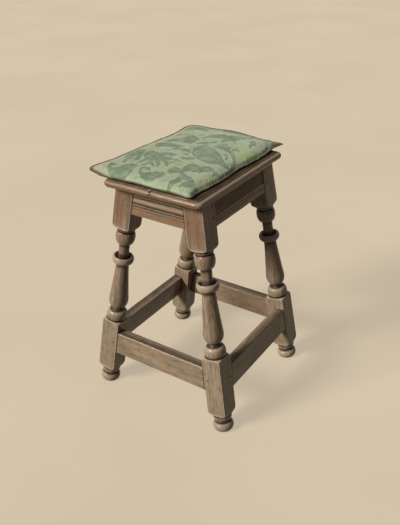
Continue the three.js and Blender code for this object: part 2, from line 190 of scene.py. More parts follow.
def close_up(points, longest):
    """The same line with no step longer than the one given"""
    out = [points[0]]
    for point in points[1:]:
        last = out[-1]
        gap = hypot(point[0] - last[0], point[1] - last[1])
        count = max(1, ceil(gap / longest)) if last[0] and point[0] else 1
        out += [tuple(mix(a, b, t) for a, b in zip(last, point)) for t in shares(count)[1:]]
    return out


def hollowness(points, reach, depth):
    """How far each point of a line stands proud of its neighbours, as a share of the depth"""
    radius, drop, half = np.array(points).T
    radius = np.minimum(radius, half * 1.15)
    near = np.exp(-((drop[:, None] - drop) / reach) ** 2) * np.gradient(drop).clip(0.05, None)
    return (radius - (near * radius).sum(1) / near.sum(1)) / depth


def srgb(code, alpha=1.0):
    """A hex colour as linear values"""
    parts = [int(code[i:i + 2], 16) / 255 for i in (1, 3, 5)]
    return *[c / 12.92 if c <= 0.04045 else ((c + 0.055) / 1.055) ** 2.4 for c in parts], alpha


def add(tree, kind, *values, stops=(), **named):
    """Adds one node of a kind: a shader node's name without that prefix, any other node's in
    full, or in capitals a maths operation or a range's smooth step. Values go to its inputs in
    order; a capitalised name is that input's own, with _ for a space, and any other name is a
    setting. A node stands for its first output, a hex code for its colour and None for an
    input left alone. Stops are those of a colour ramp."""
    if kind.isupper():
        is_step = kind == "SMOOTHSTEP"
        named["interpolation_type" if is_step else "operation"] = kind
        kind = "MapRange" if is_step else "Math"
    made = tree.nodes.new(kind if "Node" in kind else "ShaderNode" + kind)
    inputs = list(enumerate(values))
    for name, value in named.items():
        if name[0].isupper():
            inputs.append((name.replace("_", " "), value))
        else:
            setattr(made, name, value)
    for place, value in inputs:
        if isinstance(value, bpy.types.Node):
            value = value.outputs[0]
        if isinstance(value, bpy.types.NodeSocket):
            tree.links.new(value, made.inputs[place])
        elif value is not None:
            is_colour = isinstance(value, str) and value.startswith("#")
            made.inputs[place].default_value = srgb(value) if is_colour else value
    for _ in stops[2:]:
        made.color_ramp.elements.new(0.5)
    for number, (place, code) in enumerate(stops):
        made.color_ramp.elements[number].position = place
        made.color_ramp.elements[number].color = srgb(code)
    return made


def new_tree(name, inputs):
    """A Geometry Nodes tree with a geometry in and out and the named inputs given"""
    tree = bpy.data.node_groups.new(name, "GeometryNodeTree")
    tree.interface.new_socket("Geometry", in_out="OUTPUT", socket_type="NodeSocketGeometry")
    for label, kind in {"Geometry": "Geometry", **inputs, "Material": "Material"}.items():
        tree.interface.new_socket(label, in_out="INPUT", socket_type="NodeSocket" + kind)
    return tree, tree.nodes.new("NodeGroupInput").outputs


def finish_tree(tree, start, geometry):
    """Ends a tree in real geometry with its material on"""
    real = add(tree, "GeometryNodeRealizeInstances", geometry)
    add(tree, "NodeGroupOutput", add(tree, "GeometryNodeSetMaterial", real,
                                     Material=start["Material"]))


def grid_on_line(tree, start, columns, more_rows):
    """A grid that repeats the drawn line in every column. Gives the grid, and for each of its
    points the column's number and the line's place, split in three, and rub."""
    count = add(tree, "GeometryNodeAttributeDomainSize", start["Geometry"],
                component="MESH").outputs["Point Count"]
    rows = add(tree, "ADD", count, more_rows)
    grid = add(tree, "GeometryNodeMeshGrid", Vertices_Y=rows,
               Vertices_X=add(tree, "ADD", columns, 1))
    index = add(tree, "GeometryNodeInputIndex")
    column = add(tree, "FLOOR", add(tree, "DIVIDE", index, rows))
    spot = add(tree, "MODULO", add(tree, "MODULO", index, rows), count)
    place, wear_and_shading = (
        add(tree, "GeometryNodeSampleIndex", Geometry=start["Geometry"], Index=spot,
            Value=value, data_type=kind)
        for value, kind in (
            (add(tree, "GeometryNodeInputPosition"), "FLOAT_VECTOR"),
            (add(tree, "GeometryNodeInputNamedAttribute", "wear_and_shading"), "FLOAT")))
    return grid, column, add(tree, "SeparateXYZ", place).outputs, wear_and_shading


def finish_timber(tree, start, grid, spot, wear_and_shading):
    """Puts the grid's points where they belong, stores their rub and their grain, leaves the
    surface a little uneven, as a hand tool does, and closes it"""
    geometry = add(tree, "GeometryNodeSetPosition", grid, Position=spot)
    place = add(tree, "GeometryNodeInputPosition")
    for name, value, kind in (("wear_and_shading", wear_and_shading, "FLOAT"), ("grain", place, "FLOAT_VECTOR")):
        geometry = add(tree, "GeometryNodeStoreNamedAttribute", geometry, Name=name,
                       Value=value, data_type=kind, domain="POINT")
    seed = add(tree, "MULTIPLY", start["Seed"], 7.31)
    uneven = add(tree, "TexNoise", Vector=place, W=seed, Scale=22.0, Detail=2.0,
                 noise_dimensions="4D").outputs["Color"]
    centred = add(tree, "VectorMath", uneven, (0.5, 0.5, 0.5), operation="SUBTRACT")
    offset = add(tree, "VectorMath", centred, Scale=start["Wobble"], operation="SCALE")
    geometry = add(tree, "GeometryNodeSetPosition", geometry, Offset=offset)
    finish_tree(tree, start, add(tree, "GeometryNodeMergeByDistance", geometry, Distance=2e-6))
    return tree


def turning_tree():
    """A post turned round Z from a line of (radius, half square, -drop), squared in its blocks"""
    tree, start = new_tree("turned post", {
        "Facets": "Int", "Arris": "Float", "Wobble": "Float", "Seed": "Int"})
    grid, column, line, wear_and_shading = grid_on_line(tree, start, start["Facets"], 0)
    angle = add(tree, "MULTIPLY", column, tau)
    angle = add(tree, "DIVIDE", angle, start["Facets"])
    ways = add(tree, "COSINE", angle), add(tree, "SINE", angle)
    sizes = [add(tree, "ABSOLUTE", way) for way in ways]
    corner = add(tree, "SMOOTH_MAX", *sizes, 0.03)
    square = add(tree, "DIVIDE", line["Y"], corner)
    radius = add(tree, "SMOOTH_MIN", line["X"], square, start["Arris"])
    radius = add(tree, "MAXIMUM", radius, 0.0)
    off_axis = add(tree, "GREATER_THAN", line["X"], 1e-6)
    radius = add(tree, "MULTIPLY", radius, off_axis)
    across = [add(tree, "MULTIPLY", radius, way) for way in ways]
    spot = add(tree, "CombineXYZ", *across, line["Z"])
    # An arris of a block is rubbed where the square's corner shows
    meet = add(tree, "DIVIDE", add(tree, "MINIMUM", *sizes), add(tree, "MAXIMUM", *sizes))
    near = add(tree, "SMOOTHSTEP", meet, 0.86, 0.99)
    in_block = add(tree, "LESS_THAN", line["Y"], 30 * mm)
    past = add(tree, "GREATER_THAN", line["X"], square)
    shows = add(tree, "MULTIPLY", in_block, past)
    wear_and_shading = add(tree, "MULTIPLY_ADD", near, shows, wear_and_shading)
    return finish_timber(tree, start, grid, spot, wear_and_shading)


def add_attribute(mesh, name, values, kind="FLOAT"):
    field = mesh.attributes.new(name, kind, "POINT").data
    field.foreach_set("vector" if kind == "FLOAT_VECTOR" else "value",
                      np.asarray(values, np.float32).ravel())


def drawn_line(name, points):
    """An object whose mesh is only a line of points, in millimetres, for a tree to work from"""
    mesh = bpy.data.meshes.new(name)
    edges = [(step, step + 1) for step in range(len(points) - 1)]
    mesh.from_pydata([Vector(point) * mm for point in points], edges, [])
    return new_object(name, mesh)


def worked(obj, tree=None, **values):
    """The plain mesh that the modifiers, and a tree if one is given, make of an object, which
    takes it over and loses them"""
    if tree:
        modifier = obj.modifiers.new("shape", "NODES")
        modifier.node_group = tree
        for item in tree.interface.items_tree:
            name = item.name.replace(" ", "_")
            if item.in_out == "INPUT" and name in values:
                modifier[item.identifier] = values[name]
    bpy.context.view_layer.update()
    depsgraph = bpy.context.evaluated_depsgraph_get()
    mesh = bpy.data.meshes.new_from_object(
        obj.evaluated_get(depsgraph), preserve_all_data_layers=tree is not None,
        depsgraph=depsgraph)
    obj.modifiers.clear()
    obj.data = mesh
    return mesh


def read_all(items, name, width=1, kind=float):
    """One property of every item, as an array"""
    values = np.empty(len(items) * width, kind)
    items.foreach_get(name, values)
    return values.reshape(-1, width) if width > 1 else values


def placed(mesh, matrix, shift, cuts):
    """Moves a timber's mesh from its own frame, in millimetres, to its place, and its grain by
    a shift, so that no two pieces show the same figure. Then cuts it off beyond each plane
    (point, normal), closes it and faces it outwards."""
    grain = mesh.attributes["grain"].data
    moved = read_all(grain, "vector", 3) + shift
    grain.foreach_set("vector", moved.astype(np.float32).ravel())
    matrix.translation *= mm
    mesh.transform(matrix)
    work = bmesh.new()
    work.from_mesh(mesh)
    bmesh.ops.recalc_face_normals(work, faces=work.faces)
    for point, normal in cuts:
        everything = work.verts[:] + work.edges[:] + work.faces[:]
        bmesh.ops.bisect_plane(work, geom=everything, plane_co=point, plane_no=normal,
                               clear_outer=True, dist=1e-7)
    rims = [edge for edge in work.edges if edge.is_boundary]
    if rims:
        bmesh.ops.holes_fill(work, edges=rims)
    bmesh.ops.recalc_face_normals(work, faces=work.faces)
    work.to_mesh(mesh)
    work.free()


def crisp(mesh, angle=32):
    """Smooth shading that stays sharp where the faces meet at more than the angle given"""
    for face in mesh.polygons:
        face.use_smooth = True
    mesh.set_sharp_from_angle(angle=radians(angle))


def new_material(name):
    made = bpy.data.materials.new(name)
    made.use_nodes = True
    made.node_tree.nodes.clear()
    return made, made.node_tree


def tinted(tree, colour, *tints):
    """The colour with tints laid over it in turn: (value, low, high, share, tint), where the
    tint comes in from nothing at low to its share at high, or (mask, share, tint)"""
    for value, *limits, share, tint in tints:
        if limits:
            share = add(tree, "SMOOTHSTEP", value, *limits, 0.0, share)
        else:
            share = add(tree, "MULTIPLY", value, share)
        colour = add(tree, "Mix", share, None, None, None, None, None, colour, tint,
                     data_type="RGBA").outputs[2]
    return colour


def finish_material(tree, colour, rough, height, strength, depth, **surface):
    """Ends a material, with its relief's depth in millimetres and its surface's own values"""
    relief = add(tree, "Bump", Height=height, Strength=strength, Distance=depth * mm)
    add(tree, "OutputMaterial", add(tree, "BsdfPrincipled", Base_Color=colour, Roughness=rough,
                                    Normal=relief, **surface))


def wave_scale(width):
    """The scale at which a wave texture's bands are the width given, in millimetres"""
    return tau / 20 / (width * mm)


def waxed_oak(name, pale, brown, rosy, dark, tool_marks=0.0):
    """Riven oak, planed or turned, darkened by age and waxed. The eye sees faint 2.5 mm growth
    rings, short dark pores along the grain (drawn 1 mm wide, where real ones are a third of
    that, so that they show), drifts of rosier, greyer and greener brown, near-black wax with
    painted shade in the hollows, bare edges and painted highlight where the wood stands proud,
    and a greyer, drier tone low down, where floors were washed."""
    material, tree = new_material(name)
    grain = add(tree, "Attribute", attribute_name="grain").outputs["Vector"]
    wear_and_shading = add(tree, "Attribute", attribute_name="wear_and_shading").outputs["Fac"]

    def along(stretch, scale, detail=3.0, roughness=0.55):
        """Noise that is drawn out along the grain by the stretch given"""
        drawn = add(tree, "Mapping", grain, Scale=(1.0, 1.0, 1 / stretch))
        return add(tree, "TexNoise", Vector=drawn, Scale=scale, Detail=detail,
                   Roughness=roughness)

    # The tree's heart lies outside the timber, so the rings run as long flames and lines
    bent = add(tree, "VectorMath", along(5, 14, 2).outputs["Color"], (0.012, 0.012, 0.012),
               grain, operation="MULTIPLY_ADD")
    heart = add(tree, "Mapping", bent, (0.049, 0.028, -0.006))
    rings = add(tree, "TexWave", Vector=heart, Scale=wave_scale(2.5), Distortion=1.6,
                Detail=3.0, Detail_Scale=0.35, Detail_Roughness=0.6, wave_type="RINGS",
                rings_direction="Z", wave_profile="SAW").outputs["Fac"]
    early = add(tree, "SMOOTHSTEP", rings, 0.0, 0.55, 1.35, 0.35)
    pores = add(tree, "SMOOTHSTEP", along(26, 1000, 2), 0.56, 0.68, 0.0, early)
    patchy = add(tree, "SMOOTHSTEP", along(3, 60, 3), 0.38, 0.62, 0.75, 1.0)
    # Dark wax in the hollows, together with painted shade there
    dark_wax_and_shade = add(tree, "SMOOTHSTEP", wear_and_shading, -0.05, -0.65, 0.0, patchy)
    streaks, drift = along(18, 190, 4, 0.65), along(3, 17, 3)
    height = add(tree, "SeparateXYZ", add(tree, "TexCoord").outputs["Object"]).outputs["Z"]

    body = add(tree, "ValToRGB", streaks, stops=[(0.25, dark), (0.46, brown), (0.66, pale)])
    # Near-black #211812 is wax with painted shade in the hollows; pale #c0ad93 is worn bare wood
    # with painted highlight where the wood stands proud
    colour = tinted(
        tree, body, (drift, 0.46, 0.6, 0.55, rosy), (height, 0.42, 0.1, 0.4, "#a6947d"),
        (height, 0.42, 0.48, 0.6, "#7f5b42"), (along(2.5, 24, 2), 0.52, 0.66, 0.38, "#74756a"),
        (along(1.6, 75, 3), 0.5, 0.64, 0.48, "#84663f"),
        (along(3.5, 240, 2), 0.62, 0.74, 0.7, dark), (rings, 0.55, 0.0, 0.2, dark),
        (pores, 0.5, "#2f231b"), (dark_wax_and_shade, 0.9, "#211812"), (wear_and_shading, 0.15, 0.95, 0.55, "#c0ad93"))

    rough = add(tree, "SMOOTHSTEP", drift, 0.3, 0.7, 0.36, 0.5)
    rough = add(tree, "MULTIPLY_ADD", pores, 0.25, rough)
    rough = add(tree, "MULTIPLY_ADD", dark_wax_and_shade, 0.2, rough)
    relief = add(tree, "MULTIPLY", pores, -1.0)
    relief = add(tree, "MULTIPLY_ADD", streaks, 0.8, relief)
    if tool_marks:
        ridges = add(tree, "TexWave", Vector=grain, Scale=wave_scale(1.3), Distortion=2.0,
                     Detail_Scale=0.2, wave_type="BANDS", bands_direction="Z").outputs["Fac"]
        relief = add(tree, "MULTIPLY_ADD", ridges, tool_marks, relief)
    finish_material(tree, colour, rough, relief, strength=0.5, depth=0.35, IOR=1.5,
                    Specular_IOR_Level=0.15, Coat_Weight=0.3, Coat_Roughness=0.17)
    return material


turned_oak = waxed_oak("waxed oak, turned", "#ad9c85", "#857361", "#93705b", "#554538",
                       tool_marks=0.2)


def add_legs():
    tree = turning_tree()
    line = close_up(leg_profile(), 3.0)
    # How far each point stands proud: dark wax and painted shade in the hollows, worn wood and
    # painted highlight on the swells
    wear_and_shading = hollowness(line, 4.5, 1.3) + 0.6 * hollowness(line, 15, 5)
    for seed, (corner, signs) in enumerate(corners.items()):
        leg = drawn_line("turned_leg_" + corner, [(r, half, -drop) for r, drop, half in line])
        add_attribute(leg.data, "wear_and_shading", wear_and_shading.clip(-1, 1))
        mesh = worked(leg, tree, Facets=128, Arris=1.4 * mm, Wobble=0.9 * mm, Seed=seed,
                      Material=turned_oak)
        placed(mesh, leg_matrix(*signs), (0.013 * seed, -0.009 * seed, 0.83 * seed),
               [((0, 0, seat_under * mm), (0, 0, 1)), ((0, 0, 0), (0, 0, -1))])
        crisp(mesh)
        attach(leg, "stool")
        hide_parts("leg_" + corner)


add_legs()


# Rails: four boards under the seat, set nearly flush with the legs and leaning as they lean.
# A scratch stock has run reeds along their faces: a broad one on the ends, five fine ones on
# the long sides. Their tenons are pegged into the legs.
face_setback, rail_thickness = 1, 22
sides = {"front": (0, -1), "back": (0, 1), "left": (-1, 0), "right": (1, 0)}


def side_matrix(out_x, out_y):
    """A side's own frame: x out of its face, y up its face and z along it"""
    axis = "x" if out_x else "y"
    flat, up = Vector((out_x, out_y, 0)), Vector((0, 0, 1))
    out = flat * cos(lean[axis]) + up * sin(lean[axis])
    rise = up * cos(lean[axis]) - flat * sin(lean[axis])
    axes = Matrix((out, rise, out.cross(rise))).transposed().to_4x4()
    return Matrix.Translation(flat * frame_span[axis] / 2 + up * seat_under) @ axes


def half_spans(out_x, out_y, gap=0.3):
    """The half length of a bar between the legs, as (at the origin, per x out, per y up)"""
    leg = leg_matrix(out_x or 1, out_y or 1)
    across = (leg.inverted() @ side_matrix(out_x, out_y))[1 if out_x else 0]
    reach = -half_square - gap
    spans = ((reach - across[3]) / across[2], -across[0] / across[2], -across[1] / across[2])
    return spans if spans[0] > 0 else tuple(-span for span in spans)


def eased(outline, radius, count=4):
    """The same closed outline of (x, y, rub) with its outward corners worn round"""
    dark_limit, bare = -0.35, 0.7
    out = []
    for before, here, after in zip(outline[-1:] + outline[:-1], outline,
                                   outline[1:] + outline[:1]):
        a, b, c = (Vector(point[:2]) for point in (before, here, after))
        room = min((a - b).length, (c - b).length) / 2
        into, away = (a - b).normalized(), (c - b).normalized()
        if into.dot(away) < -0.8 or room < radius / 2:
            out.append(here)
            continue
        size = min(radius, room)
        for t in shares(count):
            spot = (b + into * size).lerp(b, t).lerp(b.lerp(b + away * size, t), t)
            worn = max(here[2], bare * sin(pi * t))
            out.append((spot.x, spot.y, here[2] if here[2] < dark_limit else worn))
    return out


# The bands paint the moulding's lines in the values they carry: dark wax with painted shade in
# the grooves, worn wood with painted highlight on the reeds' crests and the fillets
def flat_band(share, wear_and_shading=0):
    return share, [(0, t, wear_and_shading) for t in (0, 0.06, 0.94, 1)]


def groove_band(share, depth=1.6, dark_wax_and_shade=-0.75):
    return share, [(depth * cut, t, dark_wax_and_shade)
                   for cut, t in ((0, 0), (0.5, 0.22), (1, 0.5), (0.5, 0.78), (0, 1))]


def reed_band(share, depth=1.6, dark_wax_and_shade=-0.75):
    return share, [(depth * (1 - sin(pi * t)), t,
                    mix(dark_wax_and_shade, 0.7, sin(pi * t))) for t in shares(10)]


def rail_outline(out_x):
    """The closed outline of a rail's section, its top level under the seat board"""
    if out_x:
        # Fillets at 0.6 carry painted highlight; the grooves carry dark wax with painted shade
        bands = [flat_band(0.26), flat_band(0.03, 0.6), groove_band(0.045), reed_band(0.215),
                 groove_band(0.04), flat_band(0.03, 0.6), groove_band(0.04), flat_band(0.09),
                 groove_band(0.025, 0.7, -0.4), flat_band(0.225)]
    else:
        reeds = [groove_band(0.04, dark_wax_and_shade=-0.22), reed_band(0.055, dark_wax_and_shade=-0.08)] * 5
        scribed = [groove_band(0.03, 0.7, -0.4), flat_band(0.07)]
        bands = [flat_band(0.18), *reeds, flat_band(0.075), *scribed, *scribed, flat_band(0.07)]
    tilt = tan(lean["x" if out_x else "y"])
    face, start = [], 0
    for share, points in bands:
        face += [(-face_setback - depth, -(start + share * t) * rail_height, wear_and_shading)
                 for depth, t, wear_and_shading in points]
        start += share
    face[0] = (-face_setback, face_setback * tilt, 0)
    inner = -face_setback - rail_thickness
    merged = [face[0]] + [b for a, b in zip(face, face[1:])
                          if hypot(a[0] - b[0], a[1] - b[1]) > 1e-4]
    return merged + [(inner, -rail_height, 0), (inner, -inner * tilt, 0)]


def bar_tree():
    """A bar along Z with a drawn outline as its section and ends cut to meet leaning legs"""
    tree, start = new_tree("moulded bar", {
        "Stations": "Int", "Half span": "Float", "Span per out": "Float",
        "Span per rise": "Float", "Wobble": "Float", "Seed": "Int"})
    grid, column, line, wear_and_shading = grid_on_line(tree, start, start["Stations"], 1)
    share = add(tree, "DIVIDE", column, start["Stations"])
    signed = add(tree, "MULTIPLY_ADD", share, 2.0, -1.0)
    reach = add(tree, "MULTIPLY_ADD", line["X"], start["Span per out"], start["Half span"])
    reach = add(tree, "MULTIPLY_ADD", line["Y"], start["Span per rise"], reach)
    spot = add(tree, "CombineXYZ", line["X"], line["Y"], add(tree, "MULTIPLY", reach, signed))
    # Wax gathers in the joint at each end
    left = add(tree, "SUBTRACT", 1.0, add(tree, "ABSOLUTE", signed))
    left = add(tree, "MULTIPLY", reach, left)
    joint = add(tree, "MapRange", left, 3.2 * mm, 0.5 * mm, 0.0, -2.0)
    wear_and_shading = add(tree, "MAXIMUM", add(tree, "ADD", wear_and_shading, joint), -1.0)
    return finish_timber(tree, start, grid, spot, wear_and_shading)


moulded_bar = bar_tree()
# The rails' oak is the same oak painted lighter, to stand in for light in the shade under the
# seat board: a little lighter on the end rails, more on the long rails, whose front one faces
# away from the lamp
end_rail_oak_lightened = waxed_oak("waxed oak, end rails, lightened", "#c2ab91", "#9d8570", "#ae8770", "#6d5945")
long_rail_oak_lightened = waxed_oak("waxed oak, long rails, lightened", "#d8c3a8", "#b8a18b", "#c09c85", "#84715c")


def add_bar(name, outline, side, node, material, seed, wobble):
    bar = drawn_line(name, [(x, y, 0) for x, y, _ in outline])
    add_attribute(bar.data, "wear_and_shading", [wear_and_shading for *_, wear_and_shading in outline])
    span, per_out, per_rise = half_spans(*sides[side])
    mesh = worked(bar, moulded_bar, Stations=96, Half_span=span * mm, Span_per_out=per_out,
                  Span_per_rise=per_rise, Wobble=wobble * mm, Seed=seed, Material=material)
    placed(mesh, side_matrix(*sides[side]), (0.017 * seed, 0.011 * seed, 0.57 * seed),
           [((0, 0, seat_under * mm), (0, 0, 1))])
    crisp(mesh)
    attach(bar, "stool")
    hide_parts(node)


def add_rails():
    for seed, (side, (out_x, _)) in enumerate(sides.items(), 11):
        add_bar("moulded_rail_" + side, eased(rail_outline(out_x), 0.9), side, "rail_" + side,
                end_rail_oak_lightened if out_x else long_rail_oak_lightened, seed, 0.5)


add_rails()


# Stretchers: a square-set ring of four stout bars near the floor, their tops and outer chamfers
# painted darker as shade, and the outer upper arris taken off. They are tenoned and pegged as
# the rails are.
worn_oak = waxed_oak("waxed oak, foot-worn", "#aa967c", "#856f5a", "#94745e", "#5a4739")


def stretcher_bottom(axis):
    """Where the underside lies on the y of its side's frame"""
    height = (foot_cove + foot_ball) / slant + below_stretcher
    return (height - seat_under) / cos(lean[axis])


def stretcher_outline(axis, thickness=24, chamfer=2.5, shaded_drop=20):
    bottom = stretcher_bottom(axis)
    top, outer = bottom + stretcher_height, -face_setback
    inner = outer - thickness
    # Painted shade darkens the chamfer and the top face, down to the shaded drop below the top
    return [(outer - chamfer, top, -0.45), (outer, top - chamfer, -0.1),
            (outer, top - shaded_drop, 0), (outer, bottom, 0), (inner, bottom, 0),
            (inner, top - shaded_drop, 0), (inner, top, -0.2), ((outer + inner) / 2, top, -0.4)]


def add_stretchers():
    for seed, (side, (out_x, _)) in enumerate(sides.items(), 31):
        add_bar("foot_stretcher_" + side, eased(stretcher_outline("x" if out_x else "y"), 1.1),
                side, "stretcher_" + side, worn_oak, seed, 1.0)


add_stretchers()


# Pegs: whittled oak pins, eight-sided, driven through every tenon and left a hair proud. Four
# more stand upright and hold the seat board to the long rails, their tops under the pad.
peg_sides = 8


def peg_places():
    """(point, way out, length, name of the node) of every peg, in millimetres"""
    inset, length, proud = 9, 30, 0.2
    places = []
    for side, (out_x, out_y) in sides.items():
        axis = "x" if out_x else "y"
        middle = stretcher_bottom(axis) + stretcher_height / 2
        drops = {"rail_peg_{}_{}_upper": rail_height * 0.3,
                 "rail_peg_{}_{}_lower": rail_height * 0.7,
                 "stretcher_peg_{}_{}": -middle * cos(lean[axis]) * slant}
        out = Vector((abs(out_x), abs(out_y), 0))
        spot = out * (half_square + proud) + Vector((out.y, out.x, 0)) * (inset - half_square)
        for end, sign in (("front", -1), ("back", 1)) if out_x else (("left", -1), ("right", 1)):
            leg = leg_matrix(out_x or sign, out_y or sign)
            for name, drop in drops.items():
                places.append((leg @ Vector((spot.x, spot.y, -drop)), leg.to_3x3() @ out,
                               length, name.format(side, end)))
    for corner in corners:
        low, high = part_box("board_peg_" + corner)
        top = Vector(((low.x + high.x) / 2, (low.y + high.y) / 2, high.z)) / mm
        places.append((top, Vector((0, 0, 1)), (high.z - low.z) / mm, "board_peg_" + corner))
    return places


def finish_set_out(tree, start, thing, facing, twist, **size):
    """Ends a tree with a thing set on each point of the line, twisted from the way it faces"""
    turned = add(tree, "FunctionNodeRotateRotation", Rotation=facing, Rotate_By=twist,
                 rotation_space="LOCAL")
    points = add(tree, "GeometryNodeMeshToPoints", start["Geometry"])
    finish_tree(tree, start, add(tree, "GeometryNodeInstanceOnPoints", points, Instance=thing,
                                 Rotation=turned, **size))
    return tree


def peg_tree():
    """A whittled pin hung inwards from each point of a line"""
    tree, start = new_tree("pegs", {"Diameter": "Float", "Seed": "Int"})
    pin = add(tree, "GeometryNodeMeshCylinder", Vertices=peg_sides, Depth=1.0,
              Radius=add(tree, "DIVIDE", start["Diameter"], 2.0))
    down = add(tree, "GeometryNodeTransform", pin, Translation=(0.0, 0.0, -0.5))
    length = add(tree, "GeometryNodeInputNamedAttribute", "length")
    way_out = add(tree, "GeometryNodeInputNamedAttribute", "way_out", data_type="FLOAT_VECTOR")
    facing = add(tree, "FunctionNodeAlignRotationToVector", Vector=way_out, axis="Z")
    spin = add(tree, "FunctionNodeRandomValue", Min=0.0, Max=tau, Seed=start["Seed"],
               data_type="FLOAT").outputs[1]
    return finish_set_out(tree, start, down, facing, add(tree, "CombineXYZ", Z=spin),
                          Scale=add(tree, "CombineXYZ", 1.0, 1.0, length))


def end_grain_oak():
    """Cleft oak pegs seen on their end grain, which has drunk wax and gone a shade darker than
    the timber round it, flecked with pores that are drawn 0.8 mm apart so that they show."""
    material, tree = new_material("waxed oak, peg ends")
    place = add(tree, "TexCoord").outputs["Object"]
    flecks = add(tree, "TexNoise", Vector=place, Scale=1250.0, Detail=3.0, Roughness=0.6)
    drift = add(tree, "TexNoise", Vector=place, Scale=60.0, Detail=1.0)
    body = add(tree, "ValToRGB", flecks,
               stops=[(0.35, "#5c4939"), (0.55, "#725c49"), (0.7, "#836c56")])
    colour = tinted(tree, body, (drift, 0.4, 0.6, 0.5, "#6f5a47"))
    finish_material(tree, colour, 0.8, flecks, strength=0.5, depth=0.2, IOR=1.5,
                    Specular_IOR_Level=0.15)
    return material


def add_pegs():
    places = peg_places()
    points, ways, lengths, _ = zip(*places)
    pegs = drawn_line("oak_pegs", points)
    add_attribute(pegs.data, "length", np.array(lengths) * mm)
    add_attribute(pegs.data, "way_out", ways, "FLOAT_VECTOR")
    mesh = worked(pegs, peg_tree(), Diameter=7 * mm, Seed=5, Material=end_grain_oak())
    work = bmesh.new()
    work.from_mesh(mesh)
    rims = [edge for edge in work.edges
            if any(len(face.verts) == peg_sides for face in edge.link_faces)]
    bmesh.ops.bevel(work, geom=rims, offset=0.3 * mm, segments=2, affect="EDGES")
    bmesh.ops.recalc_face_normals(work, faces=work.faces)
    work.to_mesh(mesh)
    work.free()
    crisp(mesh, 40)
    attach(pegs, "stool")
    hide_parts(*[node for *_, node in places])


add_pegs()


# Seat board: one plank on the rails with a thumb moulding run round its edge and its corners
# rounded. Its top is hidden by the pad but for a dark margin of dust and wax, with the pad's
# shadow painted into it.
half_board = Vector((175.5, 123.5))
board_low, board_high = 537.0, 553.0


def board_outline(inset, radius=15.0, step=2.2):
    """The plan of the board drawn in by an inset, always with the same number of points"""
    out = []
    for quarter, (sign_x, sign_y) in enumerate([(1, 1), (-1, 1), (-1, -1), (1, -1)]):
        centre = Vector((sign_x * (half_board.x - radius), sign_y * (half_board.y - radius)))
        size = max(radius - inset, 0.6)
        for t in shares(12):
            angle = pi / 2 * (quarter + t)
            out.append(centre + Vector((cos(angle), sin(angle))) * size)
        along_x = quarter in (0, 2)
        length = 2 * ((half_board.x if along_x else half_board.y) - radius)
        way = Vector((-sign_x, 0)) if along_x else Vector((0, -sign_y))
        start = centre + Vector((0, sign_y) if along_x else (sign_x, 0)) * size
        out += [start + way * length * t for t in shares(round(length / step))[1:-1]]
    return out


def board_edge():
    """(inset, height over the floor, rub) from the underside, round the edge, to the top"""
    bend = board_low + 7.5
    quarter = [pi / 2 * t for t in shares(8)[1:]]
    # Painted shade: the nose darkens towards the underside
    nose = [(6.5 - 6.5 * sin(angle), bend - 7.5 * cos(angle),
             0.6 * sin(angle) - 0.5) for angle in quarter]
    quarter = [pi / 2 * t for t in shares(10)[1:]]
    # Painted highlight along the upper part of the thumb
    thumb = [(8.5 * (1 - cos(angle)), bend + 7.0 * sin(angle),
              0.05 + 0.7 * sin(2 * angle) ** 2) for angle in quarter]
    # The margin under the pad's edge is dust and wax, with the pad's shadow painted in
    return [(60, board_low, 0), (20, board_low, 0), (6.5, board_low, 0), *nose, *thumb,
            (8.9, board_high - 1.5, -0.8), (9.2, board_high - 0.5, -0.3),
            (9.9, board_high, -0.1), (12, board_high, -0.6), (26, board_high, -0.6),
            (52, board_high, -0.12)]


def lofted(name, rings):
    """A closed mesh through rings of as many points each, in millimetres"""
    work = bmesh.new()
    rows = [[work.verts.new([value * mm for value in point]) for point in ring]
            for ring in rings]
    for low, high in zip(rows, rows[1:]):
        for step in range(len(low)):
            after = (step + 1) % len(low)
            work.faces.new((low[step], low[after], high[after], high[step]))
    work.faces.new(rows[0])
    work.faces.new(rows[-1])
    bmesh.ops.recalc_face_normals(work, faces=work.faces)
    mesh = bpy.data.meshes.new(name)
    work.to_mesh(mesh)
    work.free()
    return mesh


def set_points(mesh, values):
    mesh.vertices.foreach_set("co", np.asarray(values, np.float32).ravel())
    mesh.update()


